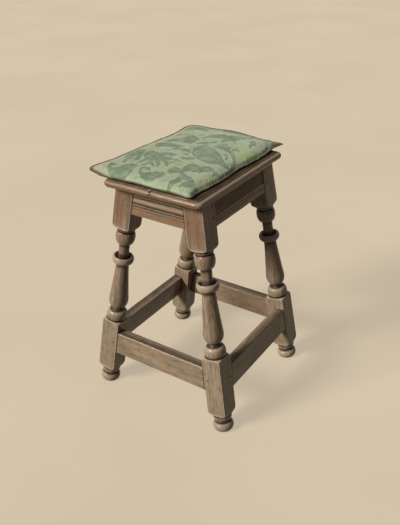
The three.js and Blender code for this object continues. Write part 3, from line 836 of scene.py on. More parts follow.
def add_board(deepest=14):
    rings, wear_and_shading = [], []
    for inset, height, ring_wear_and_shading in board_edge():
        # A ring further in than this is the same plan made smaller
        plan, more = board_outline(min(inset, deepest)), max(inset - deepest, 0)
        narrower, shorter = (1 - more / (half - deepest) for half in half_board)
        rings.append([(point.x * narrower, point.y * shorter, height) for point in plan])
        wear_and_shading += [ring_wear_and_shading] * len(plan)
    mesh, wear_and_shading = lofted("seat_plank", rings), np.array(wear_and_shading)
    co = read_all(mesh.vertices, "co", 3)
    x, y, z = co.T / mm
    # An old knock has opened a nick in the left edge
    nick = np.exp(-((y + 1) / 2) ** 2) * (x < -165) * np.clip((z - 541) / 6, 0, 1)
    uneven = (np.sin(x * 0.061 + 1.3) * np.sin(y * 0.083 + 0.4)
              + 0.6 * np.sin(x * 0.143 + 2.1) * np.cos(y * 0.157))
    rim = np.clip(1 - (board_high - z) / 40, 0, 1) * (wear_and_shading > -0.5)
    outward = co[:, :2] / np.linalg.norm(co[:, :2], axis=1, keepdims=True)
    co[:, :2] -= outward * (nick * 1.1 + (0.35 * uneven + 0.35) * rim)[:, None] * mm
    set_points(mesh, co)
    wear_and_shading -= nick * 1.6
    # Sitters' legs have rubbed the front edge paler
    wear_and_shading += 0.45 * ((co[:, 1] < -114 * mm) & (wear_and_shading > -0.5))
    add_attribute(mesh, "wear_and_shading", wear_and_shading)
    add_attribute(mesh, "grain", np.stack([co[:, 1] + 0.31, co[:, 2], co[:, 0] + 2.7], 1),
                  "FLOAT_VECTOR")
    mesh.materials.append(waxed_oak("waxed oak, seat plank", "#94866f", "#736654", "#7b6b5a",
                                    "#4f4337"))
    crisp(mesh)
    board = new_object("seat_plank", mesh)
    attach(board, "stool")
    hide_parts("seat_board")


add_board()


# Squab pad: a loose thin cushion of green silk damask over wool, its linen lining whipped to
# the cover all round. It lies askew, hangs over the back of the board and curls up at its
# back and corners. The woven figure is a pomegranate among leaves, drawn for this pad.
pad_middle, pad_half = np.array([9.0, 23.0]), np.array([178.0, 140.0])
pad_floor, seam_height, seam_length = 553.4, 3.6, 1290
# (x, y) of the sewn edge from the pad's middle, and how far it has curled up there
edge_marks = [
    (-156, 150, 5.5), (-132, 148, 6), (-105, 145, 3.5), (-68, 144, 3), (-34, 143, 2.5),
    (2, 142, 2), (39, 141, 1.2), (76, 139, 1.2), (111, 136, 0.5), (150, 134, 2),
    (172, 132, 5), (184, 124, 9), (186, 110, 12), (187, 97, 12.5), (186, 82, 12),
    (185, 54, 10.5), (185, 37, 12), (186, 15, 14), (186, -12, 13.5), (185, -47, 10),
    (184, -67, 8), (184, -88, 8), (187, -108, 7.5), (191, -124, 6), (191, -133, 3),
    (166, -127, 0.4), (108, -127, -0.5), (78, -127, -0.5), (29, -123, -0.5), (11, -121.5, -0.5),
    (-44, -124, -0.5), (-100, -123, -0.5), (-142, -119, 0), (-162, -120.5, 0),
    (-176, -120, 0), (-180, -112, 0), (-177, -96, 0), (-174, -70, 0), (-175, -46, 0),
    (-176, -23, 0), (-173, 5, 0), (-175, 56, 0), (-178, 99, 0.5), (-174, 123, 3),
    (-170, 140, 5)]


def evenly(line, count=None, spacing=None):
    """Points round a closed line, as many as given or about as far apart"""
    ring = np.vstack([line, line[:1]])
    walked = np.concatenate([[0], np.cumsum(np.linalg.norm(np.diff(ring, axis=0), axis=1))])
    even = np.linspace(0, walked[-1], count or round(walked[-1] / spacing), endpoint=False)
    return np.stack([np.interp(even, walked, values) for values in ring.T], 1)


def pad_outline():
    """The pad's sewn edge: its plan from the pad's middle, and how far it has curled up"""
    marks = np.array(edge_marks)
    before, after, beyond = (np.roll(marks, shift, 0) for shift in (1, -1, -2))
    near = np.linalg.norm(after - marks, axis=1, keepdims=True) ** 0.5
    last, ahead = np.roll(near, 1, 0), np.roll(near, -1, 0)
    leave = near * ((marks - before) / last - (after - before) / (last + near)
                    + (after - marks) / near)
    arrive = near * ((after - marks) / near - (beyond - marks) / (near + ahead)
                     + (beyond - after) / ahead)
    t = np.linspace(0, 1, 40, endpoint=False)[None, :, None]
    line = ((2 * t ** 3 - 3 * t ** 2 + 1) * marks[:, None] + (t ** 3 - 2 * t ** 2 + t)
            * leave[:, None] + (3 * t ** 2 - 2 * t ** 3) * after[:, None]
            + (t ** 3 - t ** 2) * arrive[:, None])
    return evenly(line.reshape(-1, 3), 640)


def from_edge(plan, outline):
    """For each point of the plan, how far inside the sewn edge it lies, its share of the way
    along the edge, and how far the curled-up edge lifts it"""
    parts = []
    for part in np.array_split(plan, len(plan) // 4000 + 1):
        gaps = np.linalg.norm(part[:, None] - outline[None, :, :2], axis=2)
        depth, share = gaps.min(1), np.exp(-gaps / 14.0)
        lift = (share * outline[:, 2]).sum(1) / share.sum(1).clip(1e-12)
        parts.append((depth, gaps.argmin(1) / len(outline),
                      lift * np.exp(-(depth / 34.0) ** 1.5)))
    return np.hstack(parts)


def smooth(value, low, high):
    t = np.clip((value - low) / (high - low), 0, 1)
    return t * t * (3 - 2 * t)


def far_side(plan):
    """1 along the back and the right end, where the pad has flattened and been handled most"""
    return np.maximum(smooth(plan[:, 1], 60, 120), smooth(plan[:, 0], 125, 165))


def stuffed_form(outline):
    """The pad before it is stuffed tight: rings drawn in from the seam, under and over"""
    under = [(100, 0.0), (60, 0.0), (25, 0.0), (9, 0.4), (3, 1.6)]
    over = [(3, 5.6), (9, 7.8), (20, 9.6), (45, 11.0), (90, 11.6), (125, 11.8)]
    rings = []
    for inset, height in [*under, (-2.5, seam_height), *over]:
        ring = outline[::2, :2] * (1 - inset / pad_half) + pad_middle
        rings.append([(x, y, pad_floor + height) for x, y in ring])
    return lofted("squab_cover", rings)


def swollen(obj, outline, travel, frames=20):
    """Blows the cloth up from inside for so many frames, no point further than the travel, and
    less far near the seam, which has gone flat but for the front"""
    rest = read_all(obj.data.vertices, "co", 3)
    cloth = obj.modifiers.new("cloth", "CLOTH")
    settings = cloth.settings
    settings.quality = 6
    settings.mass = 0.25
    settings.use_pressure = True
    settings.uniform_pressure_force = 4
    settings.tension_stiffness = settings.compression_stiffness = 18
    settings.bending_stiffness = 0.6
    settings.effector_weights.gravity = 0
    cloth.collision_settings.use_collision = False
    cloth.collision_settings.use_self_collision = False
    cloth.point_cache.frame_start, cloth.point_cache.frame_end = 1, frames
    scene = bpy.context.scene
    for frame_number in range(1, frames + 1):
        scene.frame_set(frame_number)
    mesh = worked(obj)
    scene.frame_set(1)
    moved = read_all(mesh.vertices, "co", 3) - rest
    size = np.linalg.norm(moved, axis=1, keepdims=True).clip(1e-9, None)
    plan = rest[:, :2] / mm - pad_middle
    depth, _, _ = from_edge(plan, outline)
    front = smooth(-plan[:, 1], 90, 115)
    room = travel * np.maximum(0.15 + 0.85 * smooth(depth, 2, 30), 0.7 * front)
    set_points(mesh, rest + moved * np.minimum(1, room[:, None] * mm / size))


def laid_down(points, outline):
    """The stuffed pad as it lies: knife-edged, flat where the board carries it, puckered at
    its seam and curled up at its back. Millimetres. Gives each point's depth too."""
    plan = points[:, :2] - pad_middle
    depth, where, lift = from_edge(plan, outline)
    seam = pad_floor + seam_height
    pinch = 0.42 + 0.58 * smooth(depth, 0, 11 + 17 * far_side(plan))
    z = seam + (points[:, 2] - seam) * pinch
    top = smooth(points[:, 2] - seam, -1.5, 2.5)
    # Puckers run in from the seam, longest where the front edge turns down
    front = smooth(-plan[:, 1], 95, 120) * smooth(plan[:, 0], -168, -150)
    walk, wave = where * seam_length, 0
    for apart, height, sway, far, start in (8.3, 0.55, 2.2, 47, 0), (5.1, 0.35, 1.7, 31, 1):
        wave += np.sin(walk / apart * tau + sway * np.sin(walk / far + start)) * height
    z += (top * wave * (0.55 + 0.75 * front) * np.exp(-depth / (9 + 13 * front))
          * smooth(depth, 0, 2.5))
    z -= top * front * 2.4 * np.exp(-depth / 12)
    # The wool has packed into soft lumps
    x, y = plan.T
    lumps = np.sin(x / 31 + 0.6 * np.sin(y / 39)) * np.sin(y / 27 + 0.8 + 0.5 * np.sin(x / 45))
    lumps += 0.5 * np.sin(x / 17 + y / 23 + 1.1)
    z += top * 0.9 * lumps * smooth(depth, 4, 40)
    # How far each point lies inside the board's edge, from just past it
    inside = np.array(half_board) + 1.5 - abs(points[:, :2])
    on_board = smooth(inside, 0, 6).prod(1)
    z = np.where(z < pad_floor, z + (pad_floor - z) * on_board, z) + lift
    return np.column_stack([points[:, :2], z]), depth


# The figure is drawn as strokes of a brush that swells and thins: (four points, widths). It
# runs slantwise over the pad, so its own axes are turned. Its unit is 2.25 mm one way and 2.9
# times that the other, along which the whole figure is drawn out.
figure_unit, figure_stretch, figure_turn = 2.25, 2.9, radians(-56.1)
fruit_strokes = [
    ((6.3, 1.6, 13.7, 1.5, 21.4, -1.2, 28.6, -6.8), (4.4, 8.4, 7.8, 3.4)),
    ((2.4, -0.1, 4.3, 3, 7.4, 5.2, 11.9, 6.6), (0.8, 2.4, 3.0, 2.4)),
    ((23, -5.3, 28.5, -8, 32.9, -10.6, 37.8, -12.1), (3.4, 2.8, 1.6, 0.4)),
]
bloom_strokes = [
    ((23.1, 7.4, 34.2, 7.3, 43, 2.5, 42.3, -5.7), (0.9, 2.0, 1.9, 1.6)),
    ((42.4, -5.2, 42.3, -9.4, 39.7, -12, 35.3, -13.7), (1.6, 1.5, 1.3, 0.6)),
    ((32.7, -0.7, 36.2, -0.1, 37.4, -2.9, 34.7, -4.3), (0.4, 0.7, 0.9, 1.2)),
    ((-7.6, 2.7, -4.2, 4.8, -0.6, 3.8, 0.4, 0.7), (0.7, 1.2, 1.1, 0.4)),
    ((-8.1, -1.7, -6.2, -4.5, -2, -3.5, 3.3, -4), (1.2, 1.3, 1.1, 0.9)),
    ((-6.5, -0.1, -5, 0.9, -3, 0.4, -2, -1.2), (0.3, 0.6, 0.7, 0.5)),
    ((-19.3, 6.4, -12.2, 5.2, -4.2, 5.2, 0.9, 4.1), (0.5, 1.3, 1.2, 0.4)),
]
tulip_strokes = [
    ((-43.8, 0.2, -39.8, 2.5, -33.7, 1.4, -28.6, -3.9), (1.8, 3.9, 3.9, 1.5)),
    ((-42.6, -3.6, -39.2, -0.8, -35, -2.8, -31.7, -5.7), (0.6, 2.4, 2.6, 0.8)),
    ((-36.9, -3.3, -38.1, -7.1, -35.9, -9.3, -32.5, -9.7), (1.9, 1.6, 1.3, 0.6)),
    ((-32.7, -1.9, -29.3, -5.3, -29.6, -8.5, -30.9, -11.2), (1.5, 2.1, 1.7, 0.5)),
    ((-27.3, -2.5, -23.6, -5.4, -21.4, -8.2, -21.5, -11.4), (1.4, 2.1, 2.0, 0.5)),
    ((-37, -2.3, -42.8, -2.5, -47.1, -5.3, -51.3, -8.1), (1.4, 1.1, 0.9, 0.3)),
    ((-36.5, -5.6, -40, -7.4, -43.9, -9.5, -51.4, -9.6), (1.3, 1.0, 0.8, 0.3)),
    ((-29.5, -0.5, -23.8, 1.6, -16.9, 0.9, -9.9, -0.7), (1.5, 1.9, 1.3, 0.3)),
    ((-27.7, -3, -20.5, -2.7, -12.6, -4.8, -5.8, -6.8), (1.3, 1.2, 1.1, 0.3)),
    ((-20.1, -6.2, -16.3, -6.4, -12.8, -8.3, -10, -9.8), (0.4, 1.1, 1.1, 0.4)),
    ((-63.8, -6.1, -61, 0, -53, 4, -45.1, 4.2), (0.9, 3.7, 4.0, 0.8)),
    ((-47, 1.8, -49, -0.7, -50.5, -2.9, -55.8, -4.9), (1.2, 1.9, 1.8, 0.5)),
]
leaf_strokes = [
    ((-72, -12.9, -65.6, -14.1, -57.7, -12.5, -53.5, -10.6), (2.4, 4.4, 4.9, 2.6)),
    ((-72.9, -12.7, -78.5, -8.9, -76.4, -5.5, -70.2, -8.1), (2.0, 1.7, 1.4, 0.7)),
    ((-70.8, -10.7, -69.7, -11.2, -68.4, -11, -68, -10), (0.7, 1.1, 1.0, 0.4)),
    ((-42.3, -17.2, -36.9, -19.5, -29.9, -18.1, -21.9, -16), (2.0, 3.4, 3.0, 0.4)),
    ((-43.1, -17.5, -48, -14.4, -46.4, -10.6, -40.4, -11.4), (1.6, 1.4, 1.2, 0.8)),
    ((-40, -12.4, -38.7, -11.6, -36.9, -12.3, -37.2, -13.7), (0.9, 1.3, 1.2, 0.6)),
    ((-20.6, -15.4, -17.2, -12.3, -10.6, -13.7, -4.8, -17.7), (0.6, 2.3, 2.3, 0.6)),
    ((-6.8, -15.1, -0.9, -11.2, 6.6, -11.7, 9.8, -15.8), (1.7, 3.2, 3.4, 1.5)),
    ((8.8, -14.9, 14, -12.7, 19.5, -13.2, 23.4, -16.4), (1.8, 2.7, 2.2, 0.4)),
    ((20.4, -18.7, 22.6, -16.2, 26.6, -17.1, 30.5, -19.5), (0.6, 1.5, 1.5, 0.6)),
    ((-19.4, -27.6, -17.6, -23.7, -12.8, -22, -7.8, -23.4), (1.1, 2.1, 2.0, 1.0)),
    ((-12.8, -22, -8, -19, -0.8, -20.1, 4.1, -25.2), (0.8, 2.2, 2.5, 1.1)),
    ((-9.4, -26.4, -3.8, -24.6, 1.9, -25.5, 7.1, -28.8), (0.8, 2.1, 2.1, 0.6)),
    ((-21.9, -28.3, -20.2, -27.1, -18.5, -26.8, -16.9, -27.2), (0.3, 0.9, 0.9, 0.4)),
    ((-34.2, 10.8, -27.6, 12.8, -18.6, 9.5, -6.3, 8.2), (1.8, 2.3, 2.4, 0.5)),
    ((-25.8, 14.8, -17.6, 17, -7.5, 14.2, -0.3, 14.3), (0.6, 1.8, 2.0, 1.5)),
    ((-8.1, 15.1, -3, 18.8, 4.5, 18.7, 8.7, 15.4), (1.4, 2.7, 2.7, 1.0)),
    ((-4.7, 24.9, 2.4, 28.6, 12.2, 28.8, 17.5, 24.3), (0.8, 2.4, 2.5, 0.7)),
    ((-15.2, 20.4, -11, 22.4, -4.6, 21.5, -0.3, 20.3), (0.3, 0.8, 0.8, 0.3)),
    ((13.4, 17.2, 22.5, 20, 35.6, 18.6, 48.7, 15), (0.6, 1.8, 2.1, 1.0)),
    ((34.6, 23.5, 40.3, 25.8, 47, 23.7, 50, 18.9), (0.6, 2.2, 2.4, 0.8)),
    ((32.8, 12.9, 41.3, 14.3, 51.9, 15.6, 65.1, 14), (1.3, 1.7, 1.3, 0.3)),
    ((31.2, 11.5, 33.6, 6.1, 40, 5.8, 48.2, 6.3), (0.5, 1.0, 1.0, 0.3)),
    ((16.9, 12, 21.3, 11, 25.4, 11.4, 28, 12.6), (0.3, 0.8, 0.8, 0.3)),
    ((48.2, 18, 44.5, 15.1, 44, 11.8, 47.3, 9.4), (0.3, 1.0, 0.9, 0.3)),
    ((51.1, 16.6, 63.4, 15.4, 73.7, 15, 82.7, 13.9), (0.6, 1.0, 1.0, 0.3)),
    ((59.5, 5.8, 61.7, 10, 65.4, 11, 66.8, 8.2), (1.1, 2.1, 2.1, 0.8)),
    ((40.2, 3.2, 44.3, 4.7, 47.7, 3.8, 50.3, 2), (0.6, 1.3, 1.0, 0.3)),
    ((5.9, 9.8, 10.1, 12.1, 16.2, 11.8, 19.2, 9.8), (0.3, 0.8, 0.8, 0.3)),
    ((-8, 27.3, -0.3, 27.6, 8.4, 27.4, 18, 24.5), (0.6, 1.8, 1.9, 0.8)),
    ((-31.8, 9.5, -24.8, 11.1, -16.6, 10.5, -8.3, 8.4), (0.5, 1.6, 1.5, 0.5)),
    ((-6.5, 13.3, -2.3, 12.1, 3.9, 13.1, 8.1, 15.8), (0.6, 1.5, 1.7, 0.8)),
    ((36, 22, 41.5, 23.2, 46.7, 22.1, 50.6, 19.8), (0.6, 1.5, 1.6, 0.6)),
    ((23.9, 17.1, 31.4, 18.5, 39.7, 18, 47.9, 16.2), (0.4, 1.1, 1.2, 0.4)),
    ((31.6, 11.6, 33.3, 8.6, 36.4, 8.4, 38.2, 10.5), (0.4, 0.9, 0.9, 0.4)),
    ((-19.1, -16.6, -15.6, -14.6, -11, -14.9, -6.7, -17.2), (0.6, 1.6, 1.6, 0.5)),
]


def brushed(strokes, at):
    """How far inside the nearest stroke each point lies, in the figure's own unit"""
    deepest = np.full(len(at), -9.0)
    t = np.linspace(0, 1, 22)[:, None]
    weights = np.hstack([(1 - t) ** 3, 3 * t * (1 - t) ** 2, 3 * t ** 2 * (1 - t), t ** 3])
    for curve, widths in strokes:
        line = weights @ np.reshape(curve, (4, 2))
        wide = weights @ (np.array(widths) * (1, 1.15, 1.15, 1))
        for spot, width in zip(line, wide):
            deepest = np.maximum(deepest, width - np.hypot(*(at - spot).T))
    return deepest


def silk_damask():
    """Silk damask, woven in two greens: a matt ribbed ground and a smoother satin figure. The
    threads are drawn 1.1 mm apart, where real ones are a quarter of that, so that they show.
    It has faded to straw in patches and along the back, is soiled along the seam, and has
    shade painted between the gathers of the front edge."""
    material, tree = new_material("silk damask, green")
    plan = add(tree, "Attribute", attribute_name="plan").outputs["Vector"]
    figure, seeds, inset, front, handled = (
        add(tree, "Attribute", attribute_name=name).outputs["Fac"]
        for name in ("figure", "seeds", "inset", "front", "handled"))

    def patches(scale, detail=2.0, stretch=(1.0, 1.0, 1.0)):
        """Soft patches all over the cloth, smaller where the scale is greater"""
        drawn = add(tree, "Mapping", plan, Scale=stretch)
        return add(tree, "TexNoise", Vector=drawn, Scale=scale, Detail=detail)

    def both(*steps):
        """The product of two smooth steps, each a value and its limits"""
        return add(tree, "MULTIPLY", *(add(tree, "SMOOTHSTEP", *step) for step in steps))

    drift, wash, bruise = patches(13, 3), patches(32, 2), patches(62, 3)
    slubs = patches(420, 2, (0.05, 1.0, 1.0))
    # The figure's outline is ragged by up to two units, as worn silk is
    figure = add(tree, "MULTIPLY_ADD", patches(90, 4), 4.0, figure)
    figure = add(tree, "SUBTRACT", figure, 2.0)
    satin = add(tree, "SMOOTHSTEP", figure, -0.7, 0.7)
    halo = both((figure, -2.4, -0.6), (figure, 0.1, -0.3))
    rim = both((figure, 0.0, 0.5), (figure, 1.9, 0.7))
    away = add(tree, "SeparateXYZ", plan).outputs["Y"]
    faded = both((away, 0.05, 0.12), (inset, 60.0, 10.0, 0.0, 0.9))
    # Paler seeds are picked out in the fruit
    dots = add(tree, "TexVoronoi", Scale=150.0, Randomness=0.35,
               Vector=add(tree, "Mapping", plan, Scale=(1.0, 0.62, 1.0),
                          Rotation=(0.0, 0.0, 0.98))).outputs["Distance"]
    picked = both((dots, 0.36, 0.22), (seeds, 1.2, 2.4))
    # Painted shade between the gathers of the front edge runs in slantwise, each stroke to its
    # own length
    turned = add(tree, "Mapping", plan, Rotation=(0.0, 0.0, -figure_turn))
    gathers = add(tree, "TexNoise", Scale=420.0, Detail=2.0, Roughness=0.7,
                  Vector=add(tree, "Mapping", turned, Scale=(1.0, 0.06, 0.0)))
    tips = add(tree, "MULTIPLY_ADD", patches(22, 1), 55.0, -68.0)
    tips = add(tree, "MULTIPLY_ADD", gathers, 100.0, tips)
    tips = add(tree, "SUBTRACT", tips, inset)
    # The painted shade of the folds, darkest near the front edge
    painted_fold_shade = both((tips, 0.0, 12.0), (inset, 34.0, 3.0, 0.3, 0.85))
    painted_fold_shade = add(tree, "MULTIPLY", painted_fold_shade, front)
    soil = add(tree, "SMOOTHSTEP", wash, 0.35, 0.6, 0.75, 1.0)
    warp, weft, twill = (
        add(tree, "TexWave", Vector=plan, Scale=wave_scale(1.1), Distortion=0.4,
            Detail_Scale=0.5, wave_type="BANDS", bands_direction=way).outputs["Fac"]
        for way in ("X", "Y", "DIAGONAL"))
    weave = add(tree, "Mix", satin, None, add(tree, "MULTIPLY", warp, weft),
                add(tree, "MULTIPLY", twill, 0.45))

    ground = add(tree, "ValToRGB", drift, stops=[
        (0.34, "#a8b698"), (0.48, "#b0bb9d"), (0.57, "#b1bb8d"), (0.68, "#aeb97f")])
    ground = tinted(tree, ground, (wash, 0.5, 0.66, 0.6, "#a9ba9d"), (halo, 0.35, "#c3ccb2"),
                    (faded, 1.0, "#c0b99b"))
    leaf = add(tree, "ValToRGB", wash,
               stops=[(0.34, "#788c74"), (0.52, "#869779"), (0.68, "#94a384")])
    leaf = tinted(tree, leaf, (drift, 0.5, 0.62, 0.6, "#839c86"),
                  (patches(95, 3, (1.0, 0.5, 1.0)), 0.48, 0.62, 0.6, "#a6b399"),
                  (rim, 0.45, "#6a7e68"), (picked, 0.7, "#adbca6"))
    colour = tinted(tree, ground, (satin, 1.0, leaf), (bruise, 0.54, 0.68, 0.3, "#b4c2a4"),
                    (bruise, 0.44, 0.32, 0.4, "#7d8d72"), (slubs, 0.35, 0.7, 0.2, "#84916f"),
                    (painted_fold_shade, 0.92, "#435540"), (handled, soil, "#4f4a33"),
                    (weave, 0.5, 0.0, 0.1, "#5d6c52"))
    height = add(tree, "MULTIPLY_ADD", slubs, 0.5, weave)
    height = add(tree, "MULTIPLY_ADD", satin, 0.5, height)
    rough = add(tree, "MULTIPLY_ADD", satin, -0.22, 0.66)
    finish_material(tree, colour, rough, height, strength=0.5, depth=0.22, IOR=1.46,
                    Specular_IOR_Level=0.35, Sheen_Weight=0.1, Sheen_Roughness=0.4)
    return material


def linen():
    """Unbleached plain-woven linen, hidden under the pad but for its edge: straw brown, with
    uneven threads drawn 1.2 mm apart so that they show."""
    material, tree = new_material("unbleached linen")
    place = add(tree, "TexCoord").outputs["Object"]
    weave = add(tree, "MULTIPLY", *(
        add(tree, "TexWave", Vector=place, Scale=wave_scale(1.2), Distortion=0.8,
            Detail_Scale=0.6, wave_type="BANDS", bands_direction=way).outputs["Fac"]
        for way in "XY"))
    drift = add(tree, "TexNoise", Vector=place, Scale=40.0, Detail=4.0)
    colour = add(tree, "ValToRGB", drift, stops=[(0.35, "#948662"), (0.65, "#aa9c79")])
    colour = tinted(tree, colour, (weave, 0.4, 0.0, 0.35, "#6f6248"))
    finish_material(tree, colour, 0.85, weave, strength=0.6, depth=0.25, IOR=1.5,
                    Specular_IOR_Level=0.2)
    return material


def carded_wool():
    """Matted fleece inside the pad, off-white and fibrous; nothing shows of it"""
    material, tree = new_material("carded wool")
    fibres = add(tree, "TexNoise", Scale=500.0, Detail=4.0, Distortion=2.0,
                 Vector=add(tree, "TexCoord").outputs["Object"])
    colour = add(tree, "ValToRGB", fibres, stops=[(0.3, "#b3a688"), (0.7, "#ddd2b6")])
    finish_material(tree, colour, 0.95, fibres, strength=0.8, depth=0.6, IOR=1.5)
    return material


def waxed_thread():
    """Two-ply silk sewing thread drawn through wax, olive brown with age, twisted every 1.2 mm"""
    material, tree = new_material("waxed silk thread")
    place = add(tree, "TexCoord").outputs["Object"]
    twist = add(tree, "TexWave", Vector=place, Scale=wave_scale(1.2), wave_type="BANDS",
                bands_direction="DIAGONAL")
    drift = add(tree, "TexNoise", Vector=place, Scale=30.0, Detail=2.0)
    colour = add(tree, "ValToRGB", drift, stops=[(0.35, "#514b35"), (0.65, "#6b6448")])
    finish_material(tree, colour, 0.6, twist, strength=0.6, depth=0.15, IOR=1.46)
    return material


def kept_faces(source, name, keep):
    """A copy of a mesh with only the faces that a mask keeps, as a new object"""
    mesh = source.copy()
    mesh.name = name
    work = bmesh.new()
    work.from_mesh(mesh)
    gone = [face for face in work.faces if not keep[face.index]]
    bmesh.ops.delete(work, geom=gone, context="FACES")
    work.to_mesh(mesh)
    work.free()
    return new_object(name, mesh)


def modified(obj, kind, **settings):
    """Gives an object the plain mesh that one modifier makes of it"""
    modifier = obj.modifiers.new(kind.lower(), kind)
    for name, value in settings.items():
        setattr(modifier, name, value)
    worked(obj)


def stitch_tree():
    """A short thread bent over the seam at each point of a line, slanting as a hand lays it"""
    tree, start = new_tree("whip stitches", {
        "Thread": "Float", "Bend": "Float", "Slant": "Float", "Seed": "Int"})
    arc = add(tree, "GeometryNodeCurveArc", Resolution=7, Radius=start["Bend"],
              Start_Angle=radians(-105), Sweep_Angle=radians(210))
    section = add(tree, "GeometryNodeCurvePrimitiveCircle", Resolution=6,
                  Radius=start["Thread"])
    bent = add(tree, "GeometryNodeCurveToMesh", arc, section, Fill_Caps=True)
    upright = add(tree, "GeometryNodeTransform", bent, Rotation=(pi / 2, 0.0, 0.0))
    outward = add(tree, "GeometryNodeInputNamedAttribute", "outward", data_type="FLOAT_VECTOR")
    facing = add(tree, "FunctionNodeAlignRotationToVector", Vector=outward, axis="X")
    facing = add(tree, "FunctionNodeAlignRotationToVector", Rotation=facing,
                 Vector=(0.0, 0.0, 1.0), axis="Z", pivot_axis="X")
    sway = add(tree, "FunctionNodeRandomValue", Min=-0.22, Max=0.22, Seed=start["Seed"],
               data_type="FLOAT").outputs[1]
    slope = add(tree, "CombineXYZ", add(tree, "ADD", sway, start["Slant"]))
    return finish_set_out(tree, start, upright, facing, slope)


def rim_points(mesh, rising):
    """The points of the rim, where the faces turn from looking up to looking down"""
    edge_of = read_all(mesh.loops, "edge_index", kind=int)
    ends = read_all(mesh.edges, "vertices", 2, int)
    down = np.repeat(rising < -0.2, read_all(mesh.polygons, "loop_total", kind=int))
    looks_down = np.bincount(edge_of, down, len(ends)) / np.bincount(
        edge_of, minlength=len(ends))
    turning = (looks_down > 0) & (looks_down < 1)
    return read_all(mesh.vertices, "co", 3)[np.unique(ends[turning])] / mm


def add_stitches(rim, outline, spacing=3.6, sunk=0.8):
    """Whip stitches over the rim, one at every step along it"""
    spots = evenly(outline[:, :2] + pad_middle, spacing=spacing)
    places, ways = [], []
    for spot, (way_x, way_y) in zip(spots, np.roll(spots, -1, 0) - np.roll(spots, 1, 0)):
        outward = Vector((-way_y, way_x, 0)).normalized()
        if outward.dot(Vector((*spot, 0))) < 0:
            outward = -outward
        gaps = np.linalg.norm(rim[:, :2] - spot, axis=1)
        near = np.exp(-((gaps - gaps.min()) / 2) ** 2)
        crest = Vector((near[:, None] * rim).sum(0) / near.sum())
        places.append(crest - outward * sunk)
        ways.append(outward)
    stitches = drawn_line("whip_stitches", places)
    add_attribute(stitches.data, "outward", ways, "FLOAT_VECTOR")
    mesh = worked(stitches, stitch_tree(), Thread=0.42 * mm, Bend=1.15 * mm, Seed=8,
                  Slant=radians(34), Material=waxed_thread())
    crisp(mesh, 60)
    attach(stitches, "pad")


def add_pad():
    outline = pad_outline()
    squab = new_object("squab", stuffed_form(outline))
    modified(squab, "REMESH", mode="VOXEL", voxel_size=3.2 * mm)
    swollen(squab, outline, travel=4.0)

    # The wool lies inside the cover, a little smaller than the stuffed form
    normals = read_all(squab.data.vertices, "normal", 3)
    core = read_all(squab.data.vertices, "co", 3) / mm - normals * 1.9
    core[:, :2] = pad_middle + (core[:, :2] - pad_middle) * 0.97
    wool = squab.data.copy()
    wool.name = "wool_filling"
    set_points(wool, laid_down(core, outline)[0] * mm)

    modified(squab, "SUBSURF", levels=1, render_levels=1)
    mesh = squab.data
    points = read_all(mesh.vertices, "co", 3) / mm
    plan = points[:, :2] - pad_middle
    laid, depth = laid_down(points, outline)
    set_points(mesh, laid * mm)

    across = np.array([cos(figure_turn), sin(figure_turn)])
    away = np.array([-sin(figure_turn), cos(figure_turn)])
    at = np.stack([plan @ across, plan @ away / figure_stretch], 1) / figure_unit
    fruit = brushed(fruit_strokes, at)
    others = brushed(bloom_strokes + tulip_strokes + leaf_strokes, at)
    far = far_side(plan)
    add_attribute(mesh, "figure", np.maximum(fruit, others))
    add_attribute(mesh, "seeds", fruit)
    add_attribute(mesh, "inset", depth)
    add_attribute(mesh, "front", smooth(-plan[:, 1], 78, 100) * smooth(plan[:, 0], -178, -160))
    add_attribute(mesh, "handled", smooth(-depth, -5.5 - 3.5 * far, -2 - 2 * far))
    add_attribute(mesh, "plan", np.column_stack([plan, laid[:, 2]]) * mm, "FLOAT_VECTOR")

    rising = read_all(mesh.polygons, "normal", 3)[:, 2]
    rim = rim_points(mesh, rising)
    # The silk is turned under the rim, so the linen starts a little further in
    corners_of = read_all(mesh.loops, "vertex_index", kind=int).reshape(-1, 4)
    under = (rising < -0.35) & (depth[corners_of].min(1) > 3.5)
    cover = kept_faces(mesh, "damask_cover", ~under)
    lining = kept_faces(mesh, "linen_lining", under)
    filling = new_object("wool_filling", wool)
    bpy.data.objects.remove(squab)
    modified(cover, "SOLIDIFY", thickness=0.9 * mm, offset=-1)
    modified(lining, "SOLIDIFY", thickness=0.7 * mm, offset=-1)
    for piece, node, slot, look in ((cover, "pad_cover", "silk_damask", silk_damask()),
                                    (lining, "pad_lining", "linen_lining", linen()),
                                    (filling, "pad_filling", "wool_filling", carded_wool())):
        piece.data.materials.clear()
        piece.data.materials.append(look)
        crisp(piece.data, 60)
        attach(piece, "pad")
        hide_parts(node)
    add_stitches(rim, outline)


add_pad()


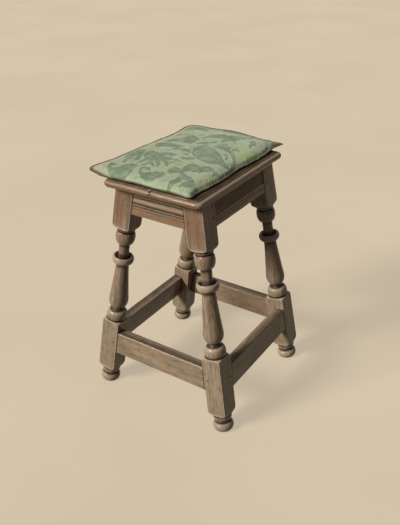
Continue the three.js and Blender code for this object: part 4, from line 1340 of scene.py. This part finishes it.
# Floor: a plain sheet of buff paper that the stool stands on. It is not part of the stool.
def add_floor(reach=30.0):
    mesh = bpy.data.meshes.new("paper_floor")
    mesh.from_pydata([(-reach, -reach, 0), (reach, -reach, 0), (reach, reach, 0),
                      (-reach, reach, 0)], [], [(0, 1, 2, 3)])
    material, tree = new_material("buff paper")
    drift = add(tree, "TexNoise", Scale=1.4, Detail=3.0,
                Vector=add(tree, "TexCoord").outputs["Object"])
    colour = add(tree, "ValToRGB", drift, stops=[(0.35, "#d6c6ad"), (0.65, "#d9cab1")])
    # The view sees the sheet pale with a weak shadow; what it throws back is darker
    pale = add(tree, "MixShader", 0.32, add(tree, "Emission", colour, 1.0),
               add(tree, "BsdfDiffuse", colour))
    dim = add(tree, "BsdfDiffuse", "#463c35")
    rays = add(tree, "LightPath").outputs
    seen = add(tree, "MAXIMUM", rays["Is Glossy Ray"], rays["Is Transmission Ray"])
    seen = add(tree, "MAXIMUM", rays["Is Camera Ray"], seen)
    add(tree, "OutputMaterial", add(tree, "MixShader", seen, dim, pale))
    mesh.materials.append(material)
    floor = new_object("paper_floor", mesh)


add_floor()


# Light: one broad soft lamp on the viewer's left, as from a tall window, a weak one from behind
# the stool, which keeps its far sides readable, and an even pale surround.
def add_light():
    def soft_lamp(name, way, strength, spread, colour):
        lamp = new_object(name, bpy.data.lights.new(name, "SUN"))
        lamp.data.energy = strength
        lamp.data.angle = radians(spread)
        lamp.data.color = srgb(colour)[:3]
        lamp.rotation_euler = Vector(way).to_track_quat("Z", "Y").to_euler()
        return lamp

    soft_lamp("window_light", (-0.73, 0.42, 0.54), strength=3.8, spread=18, colour="#fffaf2")
    fill = soft_lamp("fill_light", (0.90, 0.36, 0.22), strength=1.4, spread=70,
                     colour="#f4f5fb")
    fill.visible_glossy = False
    world = bpy.data.worlds.new("pale surround")
    world.use_nodes = True
    tree = world.node_tree
    tree.nodes.clear()
    seen = add(tree, "LightPath").outputs["Is Camera Ray"]
    colour = tinted(tree, "#f3f1ec", (seen, 1.0, "#d3c4ab"))
    level = add(tree, "SMOOTHSTEP", seen, 0.0, 1.0, 0.125, 1.0)
    add(tree, "OutputWorld", add(tree, "Background", colour, level))
    bpy.context.scene.world = world
    bpy.context.scene.view_settings.view_transform = "Standard"


add_light()
